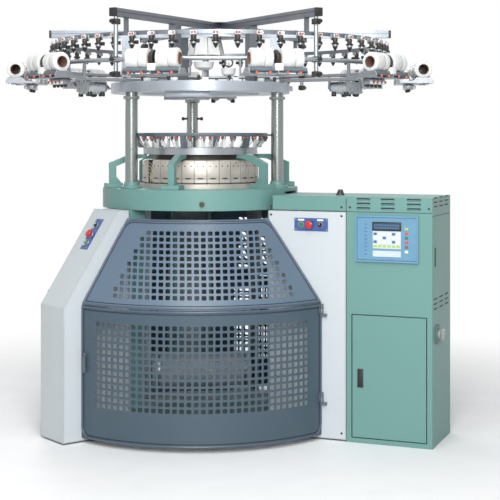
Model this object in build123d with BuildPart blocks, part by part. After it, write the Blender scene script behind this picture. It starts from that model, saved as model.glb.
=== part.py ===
from build123d import *
import os
from math import asin, atan2, cos, degrees, radians, sin, sqrt

# Large circular knitting machine with an elastane creel. Millimetres, +Z up.
# The origin is on the machine's axis at floor level, and the front gate faces -Y.

# Axis, legs and base
LEG_ANGLES = (210, 330, 90)
LEFT_LEG, RIGHT_LEG, REAR_LEG = LEG_ANGLES
BASE_BOTTOM = 40
BASE_HEIGHT = 90
BASE_TOP = BASE_BOTTOM + BASE_HEIGHT
HUB_R = 170
ARM_REACH = 830
LEG_HALF = 112
FOOT_RADIUS = 750
FOOT_PAD_R = 48
FOOT_PAD_HEIGHT = 14
FOOT_STEM_R = 14
POST_INNER_R = 440
POST_DEPTH = 100
POST_THICK = 22

# Covers round the legs
SHEET = 2.5
COVER_FLOOR_GAP = 8
COVER_GAP = 0.5
COVER_HALF = LEG_HALF + COVER_GAP + SHEET
COVER_INNER_R = 545
COVER_OUTER_R = ARM_REACH + 108
COVER_BEND_Z = 690
COVER_TOP_R = COVER_INNER_R + 71
FRONT = 263
BACK = 131
RIGHT_COVER_INNER_R = 505

# Bed, bearing, cam ring and cylinder
BED_R = 540
BED_BOTTOM = 1172
BED_TOP = 1280
BED_SKIRT = 18
DECK_THICK = 18
DECK_BOTTOM = BED_TOP - DECK_THICK
HUB_BORE_R = 262
RUNNING_GAP = 0.5
BEARING_R = 300
CYLINDER_R = 254
CYLINDER_WALL = 14
CYLINDER_TOP = 1470
GEAR_HUB_R = HUB_BORE_R - 4
GEAR_BORE_R = 234
GEAR_FACE = 35
GEAR_TEETH = 42
PINION_TEETH = 7
GEAR_MODULE = 20
TOOTH_TIP_SHARE = 0.22
TOOTH_ROOT_SHARE = 0.42
CAM_BASE_R = 336
CAM_BASE_HEIGHT = 23
CAM_R = 322
CAM_COUNT = 30
CAM_HEIGHT = 128
CAM_GAP = 0.8

# Drive
SHAFT_R = 20
BORE_CLEARANCE = 0.05
TURNED_SIDES = 12
PULLEY_SIDES = 16
HUB_SIDES = 24
PULLEY_R = 72
PULLEY_FACE = 36
MOTOR_PULLEY_R = 48
MOTOR_REACH = 790
MOTOR_R = 100
MOTOR_HEIGHT = 320
MOTOR_SHAFT_R = 14
MOTOR_SHAFT_DEPTH = 30
BELT_THICK = 6
SHAFT_BRACKET_THICK = 18

# Take-down
CAGE_HALF = 312
CAGE_PLATE = 22
CAGE_TOP_HALF_DEPTH = 215
CAGE_LOW_HALF_DEPTH = 110
CAGE_BOTTOM = 134
CAGE_FLOOR_BAR = 20
CAGE_BAR = 40
PIVOT_R = 25
NIP_ROLLER_R = 34
NIP_Z = 560
NIP_GAP = 1
CLOTH_ROLLER_R = 94
CLOTH_Z = 262
JOURNAL_R = 12

# Columns, arms, feeder ring and top plate
COLUMN_CIRCLE_R = 456
COLUMN_R = 33.5
PLATE_BOTTOM = 1795
PLATE_THICK = 54
PLATE_TOP = PLATE_BOTTOM + PLATE_THICK
PLATE_R = 495
PLATE_BORE_R = 330
CLAMP_WIDTH = 270
CLAMP_SHIFT = 36
CLAMP_DEPTH = 84
CLAMP_THICK = 20
ARM_COUNT = 6
ARM_START = 6.5
ARM_THICK = 35
ARM_FOOT_WIDTH = 100
FEEDER_RING_Z = 1460
FEEDER_RING_HEIGHT = 36
FEEDER_RING_R = 317
FEEDER_RING_WALL = 12
GUIDE_RING_Z = 1560
GUIDE_RING_R = 372
GUIDE_RING_SECTION = 10
GUIDE_COUNT = 15

# Guards
GUARD_R = 840
GUARD_SHEET = 2
GUARD_TOP_R = 570
GUARD_BOTTOM_Z = 26
GUARD_SPLIT_Z = 698
GUARD_SPLIT_GAP = 5
GUARD_TOP_Z = 1130
GUARD_SIDE_GAP = 0.8
GATE_CORNER_R = 60
HOLE_SIZE = 60
GATE_OPENING_DEG = 100
HINGE_OUT = 14
HINGE_CLEAR = 5
HINGE_BARREL_R = 9
HINGE_PIN_R = 4
HINGE_HEIGHT = 50
HINGE_LEAF = 3
LATCH_Z = 410

# Cabinet and beam
CABINET_IN = 929
CABINET_OUT = 1378
CABINET_TOP = 1250
CABINET_SHEET = 2.5
BEAM_BOTTOM = 1175.5
BEAM_START = 528
DOOR_IN, DOOR_OUT = 958, 1350
DOOR_LOW, DOOR_HIGH = 24, 653
DOOR_GAP = 4
DOOR_FLANGE = 18
DOOR_PIVOT_IN = 10
DOOR_PIVOT_DEEP = 6
DOOR_PIN_R = 3
PANEL_IN, PANEL_OUT = 981, 1309
PANEL_LOW, PANEL_HIGH = 923, 1158
PANEL_PROUD = 14
PANEL_RIM = 9
KEYPAD_THICK = 4
LOUVRE_LONG = 68
LOUVRE_HIGH = 9

# Push-button stations
STATION_LONG = 182
STATION_HIGH = 67
STATION_THICK = 3
BUTTON_CLEARANCE = 0.3
START_R = 13
STOP_R = 20.5
STOP_STEM_R = 11
SELECTOR_R = 12
SELECTOR_STEM_R = 8
BUTTON_OUT = 9
STOP_OUT = 24
STOP_HEAD = 11
BUTTON_PITCH = 54

# Elastane creel
CREEL_X, CREEL_Y = 108, -16
CREEL_TURN = -8.3
BEAM_SIZE = 40
BEAM_Z = 2106
CROSS_BEAM_Z = BEAM_Z + BEAM_SIZE
BEAM_REACH = 936
CROSS_BEAM_REACH = 996
CREEL_HUB_Z = 2005
CREEL_HUB_R = 104
CREEL_POST = 48
CREEL_POST_R = 412
RAIL_R = 1010
RAIL_SECTION = 25
RAIL_Z = 1920
ROD_LOW_Z = 1845
ROD_SIZE = 20
ROD_CIRCLE_R = RAIL_R - RAIL_SECTION - ROD_SIZE / 4
HEAD_RING_R = 900
HEAD_RING_THICK = 8
HEAD_RING_HEIGHT = 20
HEAD_RING_Z = 2058
HEAD_COUNT = 54
HEAD_LOW = 1986
HEAD_DEPTH = 36
HEAD_WIDTH = 42
HEAD_GAP = 0.3
PACKAGE_R = 49
PACKAGE_LONG = 117
PACKAGE_SIDES = 12
PACKAGE_Z = 1925
PACKAGE_RING_R = RAIL_R + 105
PACKAGE_SPACING = 150
PACKAGE_SEAT_GAP = 0.3
PAIR_ANGLES = (15, 49, 90, 131, 165)
TRAY_LONG = 292
TRAY_THICK = 6
DRIVE_ANGLES = (-150, -30, 90)
HEAD_ANGLE_STEP = 360 / HEAD_COUNT


def radial(angle, radius=1.0, z=0.0):
    """Point at a radius from the machine's axis."""
    return Vector(radius * cos(radians(angle)), radius * sin(radians(angle)), z)


def level_plane(angle, z, radius=0.0):
    """Horizontal plane whose x runs outwards along a leg."""
    return Plane(origin=radial(angle, radius, z), x_dir=radial(angle), z_dir=(0, 0, 1))


def side_plane(angle, shift=0.0):
    """Upright plane through the axis: x runs outwards and y upwards."""
    normal = Vector(sin(radians(angle)), -cos(radians(angle)), 0)
    return Plane(origin=normal * shift, x_dir=radial(angle), z_dir=normal)


def radial_axis(angle):
    return Axis((0, 0, 0), radial(angle))


def finish(builder, name):
    """Label a finished piece and write it."""
    builder.part.label = name
    export_step(builder.part, f"parts/{name}.step")


os.makedirs("parts", exist_ok=True)

# The right leg's own directions: outwards along the leg, and forwards to the cabinet's front
OUT = radial(RIGHT_LEG)
FORWARD = radial(RIGHT_LEG - 90)
FRONT_PLANE = side_plane(RIGHT_LEG, FRONT)


def front_spot(reach, z, proud=0.0):
    """Plane on the cabinet's front: x along the leg, y up, z out of the face."""
    return Plane(origin=OUT * reach + FORWARD * (FRONT + proud) + Vector(0, 0, z), x_dir=OUT, z_dir=FORWARD)


# Base
with BuildPart() as base_frame:
    with BuildSketch(Plane.XY.offset(BASE_BOTTOM)):
        Circle(HUB_R)
        with PolarLocations(ARM_REACH / 2, 3, REAR_LEG):
            Rectangle(ARM_REACH, 2 * LEG_HALF)
    extrude(amount=BASE_HEIGHT)
    pivot_top = CAGE_BOTTOM + CAGE_FLOOR_BAR + 1
    with BuildSketch(Plane.XY.offset(BASE_TOP)):
        RegularPolygon(PIVOT_R, 2 * TURNED_SIDES)
    extrude(amount=pivot_top - BASE_TOP)
finish(base_frame, "base_frame")

with BuildPart() as levelling_feet:
    with BuildSketch():
        with PolarLocations(FOOT_RADIUS, 3, REAR_LEG):
            RegularPolygon(FOOT_PAD_R, TURNED_SIDES)
    extrude(amount=FOOT_PAD_HEIGHT)
    with BuildSketch(Plane.XY.offset(FOOT_PAD_HEIGHT)):
        with PolarLocations(FOOT_RADIUS, 3, REAR_LEG):
            RegularPolygon(FOOT_STEM_R * 1.6, 6)
    extrude(amount=BASE_BOTTOM - FOOT_PAD_HEIGHT)
finish(levelling_feet, "levelling_feet")

GEAR_PITCH_R = GEAR_MODULE * GEAR_TEETH / 2
PINION_PITCH_R = GEAR_MODULE * PINION_TEETH / 2
SHAFT_REACH = GEAR_PITCH_R + PINION_PITCH_R
POST_MID = POST_INNER_R + POST_DEPTH / 2
POST_SIDE = LEG_HALF - POST_THICK / 2
GEAR_TOP = DECK_BOTTOM - RUNNING_GAP - 22
GEAR_BOTTOM = GEAR_TOP - GEAR_FACE
PULLEY_TOP = GEAR_BOTTOM - 60
BRACKET_Z = BED_BOTTOM - 24
with BuildPart() as leg_posts:
    with BuildSketch(Plane.XY.offset(BASE_TOP)):
        with PolarLocations(0, 3, REAR_LEG):
            with Locations((POST_MID, POST_SIDE), (POST_MID, -POST_SIDE)):
                Rectangle(POST_DEPTH, POST_THICK)
    extrude(amount=BED_BOTTOM - BASE_TOP)
    with BuildSketch(level_plane(RIGHT_LEG, BRACKET_Z, POST_MID)):
        Rectangle(POST_DEPTH, 2 * LEG_HALF - 2 * POST_THICK)
    extrude(amount=SHAFT_BRACKET_THICK)
    with BuildSketch(level_plane(RIGHT_LEG, BRACKET_Z, SHAFT_REACH)):
        RegularPolygon(SHAFT_R + BORE_CLEARANCE, TURNED_SIDES, major_radius=False)
    extrude(amount=SHAFT_BRACKET_THICK, mode=Mode.SUBTRACT)
finish(leg_posts, "leg_posts")


# Push-button stations: one on the right front panel, one on the left cover's slope
SLOPE_RISE = BED_BOTTOM - COVER_GAP - COVER_BEND_Z
SLOPE_RUN = COVER_OUTER_R - COVER_TOP_R
SLOPE_LONG = sqrt(SLOPE_RISE**2 + SLOPE_RUN**2)
SLOPE_UP = radial(LEFT_LEG, -SLOPE_RUN / SLOPE_LONG) + Vector(0, 0, SLOPE_RISE / SLOPE_LONG)
SLOPE_OUT = radial(LEFT_LEG, SLOPE_RISE / SLOPE_LONG) + Vector(0, 0, SLOPE_RUN / SLOPE_LONG)
SLOPE_TOP = radial(LEFT_LEG, COVER_TOP_R, BED_BOTTOM - COVER_GAP)
LEFT_STATION_DOWN = 150
LEFT_STATION = Plane(origin=SLOPE_TOP - SLOPE_UP * LEFT_STATION_DOWN, x_dir=SLOPE_UP, z_dir=SLOPE_OUT)
RIGHT_STATION_R, RIGHT_STATION_Z = 741, 1103
RIGHT_STATION = front_spot(RIGHT_STATION_R, RIGHT_STATION_Z)
START_AT = -BUTTON_PITCH
STOP_AT = -6
SELECTOR_AT = BUTTON_PITCH - 4
STATION_HOLES = ((START_AT, START_R + BUTTON_CLEARANCE), (STOP_AT, STOP_STEM_R + BUTTON_CLEARANCE))


# Leg covers
def outer_leg_cover(angle, station=None):
    """Folded sheet box, open towards the axis and underneath."""
    with BuildPart() as cover:
        with BuildSketch(side_plane(angle, -COVER_HALF)):
            with BuildLine():
                Polyline(
                    (COVER_INNER_R, COVER_FLOOR_GAP),
                    (COVER_OUTER_R, COVER_FLOOR_GAP),
                    (COVER_OUTER_R, COVER_BEND_Z),
                    (COVER_TOP_R, BED_BOTTOM - COVER_GAP),
                    (COVER_INNER_R, BED_BOTTOM - COVER_GAP),
                    close=True,
                )
            make_face()
        extrude(amount=2 * COVER_HALF)
        inner = cover.faces().sort_by(radial_axis(angle))[0]
        bottom = cover.faces().sort_by(Axis.Z)[0]
        offset(amount=-SHEET, openings=[inner, bottom])
        if station:
            with BuildSketch(station):
                for at, radius in STATION_HOLES:
                    with Locations((at, 0)):
                        RegularPolygon(radius, TURNED_SIDES, major_radius=False)
            extrude(amount=-2 * SHEET, mode=Mode.SUBTRACT)
    return cover


left_leg_cover = outer_leg_cover(LEFT_LEG, LEFT_STATION)
finish(left_leg_cover, "left_leg_cover")
rear_leg_cover = outer_leg_cover(REAR_LEG)
finish(rear_leg_cover, "rear_leg_cover")

RIGHT_COVER_OUTER_R = CABINET_IN - COVER_GAP
with BuildPart() as right_leg_cover:
    with BuildSketch(level_plane(RIGHT_LEG, COVER_FLOOR_GAP)):
        with BuildLine():
            Polyline(
                (RIGHT_COVER_INNER_R, -FRONT),
                (RIGHT_COVER_OUTER_R, -FRONT),
                (RIGHT_COVER_OUTER_R, COVER_HALF),
                (COVER_INNER_R, COVER_HALF),
                (COVER_INNER_R, COVER_HALF - SHEET),
                (RIGHT_COVER_OUTER_R - SHEET, COVER_HALF - SHEET),
                (RIGHT_COVER_OUTER_R - SHEET, SHEET - FRONT),
                (RIGHT_COVER_INNER_R, SHEET - FRONT),
                close=True,
            )
        make_face()
    extrude(amount=BED_BOTTOM - COVER_GAP - COVER_FLOOR_GAP)
    with BuildSketch(RIGHT_STATION):
        for at, radius in STATION_HOLES:
            with Locations((at, 0)):
                RegularPolygon(radius, TURNED_SIDES, major_radius=False)
    extrude(amount=-2 * SHEET, mode=Mode.SUBTRACT)
finish(right_leg_cover, "right_leg_cover")

# Bed: deck, skirt and the lugs that stand on the leg posts
with BuildPart() as bed:
    with BuildSketch(Plane.XZ):
        with BuildLine():
            Polyline(
                (HUB_BORE_R, DECK_BOTTOM),
                (HUB_BORE_R, BED_TOP),
                (BED_R, BED_TOP),
                (BED_R, BED_BOTTOM),
                (BED_R - BED_SKIRT, BED_BOTTOM),
                (BED_R - BED_SKIRT, DECK_BOTTOM),
                close=True,
            )
        make_face()
    revolve(axis=Axis.Z)
    lug_start = GEAR_PITCH_R + 1.6 * GEAR_MODULE
    lug_end = BED_R - BED_SKIRT
    lug_mid = (lug_start + lug_end) / 2
    with BuildSketch(Plane.XY.offset(BED_BOTTOM)):
        with PolarLocations(0, 3, REAR_LEG):
            with Locations((lug_mid, POST_SIDE), (lug_mid, -POST_SIDE)):
                Rectangle(lug_end - lug_start, POST_THICK)
    extrude(amount=DECK_BOTTOM - BED_BOTTOM)
    window_half = PINION_PITCH_R + GEAR_MODULE
    with BuildSketch(level_plane(RIGHT_LEG, BED_BOTTOM, BED_R)):
        Rectangle(2 * BED_SKIRT + 22, 2 * window_half)
    extrude(amount=DECK_BOTTOM - BED_BOTTOM, mode=Mode.SUBTRACT)
finish(bed, "bed")

with BuildPart() as cylinder_bearing:
    with BuildSketch(Plane.XY.offset(GEAR_TOP + RUNNING_GAP)):
        RegularPolygon(BEARING_R, HUB_SIDES)
        RegularPolygon(GEAR_HUB_R + RUNNING_GAP, HUB_SIDES, major_radius=False, mode=Mode.SUBTRACT)
    extrude(amount=DECK_BOTTOM - GEAR_TOP - RUNNING_GAP)
finish(cylinder_bearing, "cylinder_bearing")


# Gears
def gear_outline(teeth, phase):
    """Corners of a spur gear with straight-flanked teeth."""
    pitch_r = GEAR_MODULE * teeth / 2
    tip_r = pitch_r + 0.7 * GEAR_MODULE
    root_r = pitch_r - 0.9 * GEAR_MODULE
    step = 360 / teeth
    corners = []
    for tooth in range(teeth):
        middle = phase + tooth * step
        for share, radius in (
            (-TOOTH_ROOT_SHARE / 2 - 0.04, root_r),
            (-TOOTH_TIP_SHARE / 2, tip_r),
            (TOOTH_TIP_SHARE / 2, tip_r),
            (TOOTH_ROOT_SHARE / 2 + 0.04, root_r),
        ):
            corners.append(radial(middle + share * step, radius))
    return corners


with BuildPart() as main_gear:
    with BuildSketch(Plane.XY.offset(GEAR_BOTTOM)):
        with BuildLine():
            Polyline(*gear_outline(GEAR_TEETH, RIGHT_LEG + 180 / GEAR_TEETH), close=True)
        make_face()
        RegularPolygon(GEAR_BORE_R, HUB_SIDES, mode=Mode.SUBTRACT)
    extrude(amount=GEAR_FACE)
    with BuildSketch(Plane.XY.offset(GEAR_TOP)):
        RegularPolygon(GEAR_HUB_R, HUB_SIDES)
        RegularPolygon(GEAR_BORE_R, HUB_SIDES, mode=Mode.SUBTRACT)
    extrude(amount=BED_TOP - GEAR_TOP)
finish(main_gear, "main_gear")

with BuildPart() as needle_cylinder:
    with BuildSketch(Plane.XY.offset(BED_TOP)):
        Circle(CYLINDER_R)
        RegularPolygon(CYLINDER_R - CYLINDER_WALL, HUB_SIDES, major_radius=False, mode=Mode.SUBTRACT)
    extrude(amount=CYLINDER_TOP - BED_TOP)
finish(needle_cylinder, "needle_cylinder")

# Cam ring round the cylinder
with BuildPart() as cam_base_ring:
    with BuildSketch(Plane.XY.offset(BED_TOP)):
        Circle(CAM_BASE_R)
        RegularPolygon(HUB_BORE_R, HUB_SIDES, major_radius=False, mode=Mode.SUBTRACT)
    extrude(amount=CAM_BASE_HEIGHT)
finish(cam_base_ring, "cam_base_ring")

cam_half_deg = 180 / CAM_COUNT - degrees(CAM_GAP / 2 / CAM_R)
with BuildPart() as cam_boxes:
    with BuildSketch(Plane.XY.offset(BED_TOP + CAM_BASE_HEIGHT)):
        for index in range(CAM_COUNT):
            middle = index * 360 / CAM_COUNT
            with BuildLine():
                Polyline(
                    radial(middle - cam_half_deg, HUB_BORE_R),
                    radial(middle - cam_half_deg, CAM_R),
                    radial(middle + cam_half_deg, CAM_R),
                    radial(middle + cam_half_deg, HUB_BORE_R),
                    close=True,
                )
            make_face()
    extrude(amount=CAM_HEIGHT)
finish(cam_boxes, "cam_boxes")

# Drive shaft with its pinion and pulley, motor and belt
SHAFT_SPOT = radial(RIGHT_LEG, SHAFT_REACH)
MOTOR_SPOT = radial(RIGHT_LEG, MOTOR_REACH)
PULLEY_BOTTOM = PULLEY_TOP - PULLEY_FACE
with BuildPart() as drive_shaft:
    with BuildSketch(level_plane(RIGHT_LEG, PULLEY_BOTTOM - 10, SHAFT_REACH)):
        RegularPolygon(SHAFT_R, TURNED_SIDES)
    extrude(amount=DECK_BOTTOM - RUNNING_GAP - PULLEY_BOTTOM + 10)
    with BuildSketch(level_plane(RIGHT_LEG, GEAR_BOTTOM, SHAFT_REACH)):
        with BuildLine():
            Polyline(*gear_outline(PINION_TEETH, 180), close=True)
        make_face()
    extrude(amount=GEAR_FACE)
    with BuildSketch(level_plane(RIGHT_LEG, PULLEY_BOTTOM, SHAFT_REACH)):
        RegularPolygon(PULLEY_R, PULLEY_SIDES)
    extrude(amount=PULLEY_FACE)
finish(drive_shaft, "drive_shaft")

MOTOR_TOP = PULLEY_BOTTOM - 18
with BuildPart() as motor:
    with BuildSketch(level_plane(RIGHT_LEG, MOTOR_TOP - MOTOR_HEIGHT, MOTOR_REACH)):
        RegularPolygon(MOTOR_R, PULLEY_SIDES)
        with Locations((MOTOR_R * 0.9, 0)):
            Rectangle(50, 110)
    extrude(amount=MOTOR_HEIGHT)
    bracket_start = POST_INNER_R + POST_DEPTH
    bracket_end = MOTOR_REACH + MOTOR_R - 20
    bracket_bottom = MOTOR_TOP - MOTOR_HEIGHT - 24
    with BuildSketch(level_plane(RIGHT_LEG, bracket_bottom, (bracket_start + bracket_end) / 2)):
        Rectangle(bracket_end - bracket_start, 2 * LEG_HALF)
    extrude(amount=24)
    with BuildSketch(level_plane(RIGHT_LEG, MOTOR_TOP, MOTOR_REACH)):
        RegularPolygon(MOTOR_SHAFT_R + BORE_CLEARANCE, TURNED_SIDES, major_radius=False)
    extrude(amount=-MOTOR_SHAFT_DEPTH, mode=Mode.SUBTRACT)
finish(motor, "motor")

with BuildPart() as motor_pulley:
    with BuildSketch(level_plane(RIGHT_LEG, PULLEY_BOTTOM, MOTOR_REACH)):
        RegularPolygon(MOTOR_PULLEY_R, PULLEY_SIDES)
    extrude(amount=PULLEY_FACE)
    shaft_end = MOTOR_TOP - MOTOR_SHAFT_DEPTH + RUNNING_GAP
    with BuildSketch(level_plane(RIGHT_LEG, shaft_end, MOTOR_REACH)):
        RegularPolygon(MOTOR_SHAFT_R, TURNED_SIDES)
    extrude(amount=PULLEY_BOTTOM - shaft_end)
finish(motor_pulley, "motor_pulley")

BELT_SPAN = MOTOR_REACH - SHAFT_REACH
belt_lean = degrees(asin((PULLEY_R - MOTOR_PULLEY_R) / BELT_SPAN))
WRAP_STEPS = 8


def belt_outline(grow):
    """Points of a closed loop round both pulleys, a distance off them."""
    points = []
    for centre, radius, start, end in (
        (BELT_SPAN, MOTOR_PULLEY_R, belt_lean - 90, 90 - belt_lean),
        (0, PULLEY_R, 90 - belt_lean, 270 + belt_lean),
    ):
        for step in range(WRAP_STEPS + 1):
            turn = start + (end - start) * step / WRAP_STEPS
            points.append(Vector(centre, 0) + radial(turn, (radius + grow) / cos(radians(180 / 16))))
    return points


with BuildPart() as drive_belt:
    for grow, keep in ((RUNNING_GAP + BELT_THICK, Mode.ADD), (RUNNING_GAP, Mode.SUBTRACT)):
        with BuildSketch(level_plane(RIGHT_LEG, PULLEY_BOTTOM + 3, SHAFT_REACH)):
            with BuildLine():
                Polyline(*belt_outline(grow), close=True)
            make_face()
        extrude(amount=PULLEY_FACE - 6, mode=keep)
finish(drive_belt, "drive_belt")

# Take-down cage, which hangs from the gear and turns with it
CAGE_INNER = CAGE_HALF - CAGE_PLATE
NIP_SIDE = NIP_ROLLER_R + NIP_GAP / 2
with BuildPart() as takedown_frame:
    for side in (1, -1):
        with BuildSketch(Plane(origin=(side * CAGE_INNER, 0, 0), x_dir=(0, side, 0), z_dir=(side, 0, 0))):
            with BuildLine():
                Polyline(
                    (-CAGE_LOW_HALF_DEPTH, CAGE_BOTTOM),
                    (CAGE_LOW_HALF_DEPTH, CAGE_BOTTOM),
                    (CAGE_LOW_HALF_DEPTH, NIP_Z + 60),
                    (CAGE_TOP_HALF_DEPTH, GEAR_BOTTOM - CAGE_BAR),
                    (-CAGE_TOP_HALF_DEPTH, GEAR_BOTTOM - CAGE_BAR),
                    (-CAGE_LOW_HALF_DEPTH, NIP_Z + 60),
                    close=True,
                )
            make_face()
            with Locations((0, CLOTH_Z), (NIP_SIDE, NIP_Z), (-NIP_SIDE, NIP_Z)):
                bore = JOURNAL_R + BORE_CLEARANCE
                RegularPolygon(bore, TURNED_SIDES, major_radius=False, mode=Mode.SUBTRACT)
        extrude(amount=CAGE_PLATE)
    bar_y = CAGE_TOP_HALF_DEPTH - CAGE_BAR / 2
    with BuildSketch(Plane.XY.offset(GEAR_BOTTOM - CAGE_BAR)):
        with Locations((0, bar_y), (0, -bar_y)):
            Rectangle(2 * CAGE_HALF, CAGE_BAR)
        with Locations((CAGE_HALF - CAGE_BAR / 2, 0), (CAGE_BAR / 2 - CAGE_HALF, 0)):
            Rectangle(CAGE_BAR, 2 * CAGE_TOP_HALF_DEPTH)
    extrude(amount=CAGE_BAR)
    with BuildSketch(Plane.XY.offset(CAGE_BOTTOM)):
        Rectangle(2 * CAGE_INNER, 120)
        RegularPolygon(PIVOT_R + BORE_CLEARANCE, 2 * TURNED_SIDES, major_radius=False, mode=Mode.SUBTRACT)
    extrude(amount=CAGE_FLOOR_BAR)
finish(takedown_frame, "takedown_frame")


def takedown_roller(name, y, z, radius):
    """Roller across the cage with a journal at each end."""
    with BuildPart() as roller:
        with BuildSketch(Plane(origin=(-CAGE_INNER + 1, y, z), x_dir=(0, 1, 0), z_dir=(1, 0, 0))):
            RegularPolygon(radius, 2 * TURNED_SIDES)
        extrude(amount=2 * CAGE_INNER - 2)
        with BuildSketch(Plane(origin=(-CAGE_HALF, y, z), x_dir=(0, 1, 0), z_dir=(1, 0, 0))):
            RegularPolygon(JOURNAL_R, TURNED_SIDES)
        extrude(amount=2 * CAGE_HALF)
    finish(roller, name)


takedown_roller("takedown_roller_front", -NIP_SIDE, NIP_Z, NIP_ROLLER_R)
takedown_roller("takedown_roller_rear", NIP_SIDE, NIP_Z, NIP_ROLLER_R)
takedown_roller("cloth_roller", 0, CLOTH_Z, CLOTH_ROLLER_R)

# Columns and top plate
with BuildPart() as columns:
    for leg in (REAR_LEG, LEFT_LEG, RIGHT_LEG):
        column_top = PLATE_BOTTOM - (CLAMP_THICK if leg == REAR_LEG else 0)
        with BuildSketch(level_plane(leg, BED_TOP, COLUMN_CIRCLE_R)):
            Circle(COLUMN_R)
        extrude(amount=column_top - BED_TOP)
finish(columns, "columns")

with BuildPart() as top_plate:
    with BuildSketch(Plane.XY.offset(PLATE_BOTTOM)):
        Circle(PLATE_R)
        Circle(PLATE_BORE_R, mode=Mode.SUBTRACT)
    extrude(amount=PLATE_THICK)
    with BuildSketch(level_plane(REAR_LEG, PLATE_BOTTOM - CLAMP_THICK, COLUMN_CIRCLE_R)):
        with Locations((0, CLAMP_SHIFT)):
            Rectangle(CLAMP_DEPTH, CLAMP_WIDTH)
    extrude(amount=CLAMP_THICK)
finish(top_plate, "top_plate")

# Bent arms that carry the feeder ring
ARM_TIP_R = FEEDER_RING_R - FEEDER_RING_WALL
ARM_LIP = 20
with BuildPart() as ring_support_arms:
    for index in range(ARM_COUNT):
        angle = ARM_START + index * 360 / ARM_COUNT
        with BuildSketch(side_plane(angle, -ARM_THICK / 2)):
            with BuildLine():
                Polyline(
                    (445, BED_TOP + 24),
                    (510, BED_TOP + 24),
                    (510, 1415),
                    (400, FEEDER_RING_Z),
                    (ARM_TIP_R, FEEDER_RING_Z),
                    (ARM_TIP_R, FEEDER_RING_Z - ARM_LIP),
                    (385, FEEDER_RING_Z - ARM_LIP - 6),
                    (474, 1395),
                    (474, BED_TOP + 60),
                    close=True,
                )
            make_face()
        extrude(amount=ARM_THICK)
        with BuildSketch(level_plane(angle, BED_TOP, 486)):
            Rectangle(92, ARM_FOOT_WIDTH)
        extrude(amount=24)
finish(ring_support_arms, "ring_support_arms")

with BuildPart() as feeder_ring:
    with BuildSketch(Plane.XY.offset(FEEDER_RING_Z)):
        Circle(FEEDER_RING_R)
        Circle(FEEDER_RING_R - FEEDER_RING_WALL, mode=Mode.SUBTRACT)
    extrude(amount=FEEDER_RING_HEIGHT)
finish(feeder_ring, "feeder_ring")

FEEDER_RING_TOP = FEEDER_RING_Z + FEEDER_RING_HEIGHT
with BuildPart() as yarn_guides:
    with BuildSketch(Plane.XY.offset(FEEDER_RING_TOP)):
        with PolarLocations(FEEDER_RING_R - FEEDER_RING_WALL / 2, GUIDE_COUNT):
            Rectangle(10, 22)
    extrude(amount=52)
finish(yarn_guides, "yarn_guides")

with BuildPart() as guide_ring:
    with BuildSketch(Plane.XY.offset(GUIDE_RING_Z)):
        Circle(GUIDE_RING_R)
        Circle(GUIDE_RING_R - GUIDE_RING_SECTION, mode=Mode.SUBTRACT)
        bracket_in = GUIDE_RING_R - GUIDE_RING_SECTION / 2
        bracket_out = COLUMN_CIRCLE_R - COLUMN_R
        with PolarLocations((bracket_in + bracket_out) / 2, 3, REAR_LEG):
            Rectangle(bracket_out - bracket_in, 26)
    extrude(amount=GUIDE_RING_SECTION)
finish(guide_ring, "guide_ring")

# Guards between the legs
left_edge = asin((COVER_HALF + GUARD_SIDE_GAP) / GUARD_R)


def window_spots(angles, z, radius, tilt=0.0):
    """Planes that face out of a guard sheet at one height."""
    spots = []
    for angle in angles:
        outward = radial(angle) * cos(radians(tilt)) + Vector(0, 0, sin(radians(tilt)))
        sideways = Vector(-sin(radians(angle)), cos(radians(angle)), 0)
        spots.append(Plane(origin=radial(angle, radius, z), x_dir=sideways, z_dir=outward))
    return spots


def guard_band(start_leg, end_leg, start_side, end_side, outline, spots, opening=(HOLE_SIZE, HOLE_SIZE)):
    """Sheet of revolution between two legs, trimmed along their covers, with openings."""
    with BuildPart() as band:
        with BuildSketch(side_plane(start_leg)):
            with BuildLine():
                Polyline(*outline, close=True)
            make_face()
        revolve(axis=Axis.Z, revolution_arc=120)
        split(bisect_by=side_plane(start_leg, -start_side), keep=Keep.BOTTOM)
        split(bisect_by=side_plane(end_leg, end_side), keep=Keep.TOP)
        if spots:
            with Locations(*spots):
                Box(*opening, 30, mode=Mode.SUBTRACT)
    return band


LOWER_OUTLINE = (
    (GUARD_R - GUARD_SHEET, GUARD_BOTTOM_Z),
    (GUARD_R, GUARD_BOTTOM_Z),
    (GUARD_R, GUARD_SPLIT_Z),
    (GUARD_R - GUARD_SHEET, GUARD_SPLIT_Z),
)
UPPER_OUTLINE = (
    (GUARD_R - GUARD_SHEET, GUARD_SPLIT_Z + GUARD_SPLIT_GAP),
    (GUARD_R, GUARD_SPLIT_Z + GUARD_SPLIT_GAP),
    (GUARD_TOP_R, GUARD_TOP_Z),
    (GUARD_TOP_R - GUARD_SHEET, GUARD_TOP_Z),
)
CONE_TILT = degrees(atan2(GUARD_R - GUARD_TOP_R, GUARD_TOP_Z - GUARD_SPLIT_Z))
SIDE = COVER_HALF + GUARD_SIDE_GAP
SPANS = {
    "front": (LEFT_LEG, RIGHT_LEG, SIDE, FRONT + GUARD_SIDE_GAP),
    "right": (RIGHT_LEG, REAR_LEG, SIDE, SIDE),
    "left": (REAR_LEG, LEFT_LEG, SIDE, SIDE),
}
# Middle angle of each span, and for each height the number of openings and their spacing
UPPER_WINDOWS = {
    "front": (265, ((800, 5, 14), (910, 4, 15), (1020, 3, 17))),
    "right": (30, ((915, 3, 20),)),
    "left": (150, ((915, 3, 20),)),
}
REAR_UPPER_OPENING = (170, 190)
REAR_LOWER_OPENING = (200, 170)
REAR_LOWER_ROWS = (300, 512)


def cone_radius(z):
    share = (z - GUARD_SPLIT_Z) / (GUARD_TOP_Z - GUARD_SPLIT_Z)
    return GUARD_R - share * (GUARD_R - GUARD_TOP_R)


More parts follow.
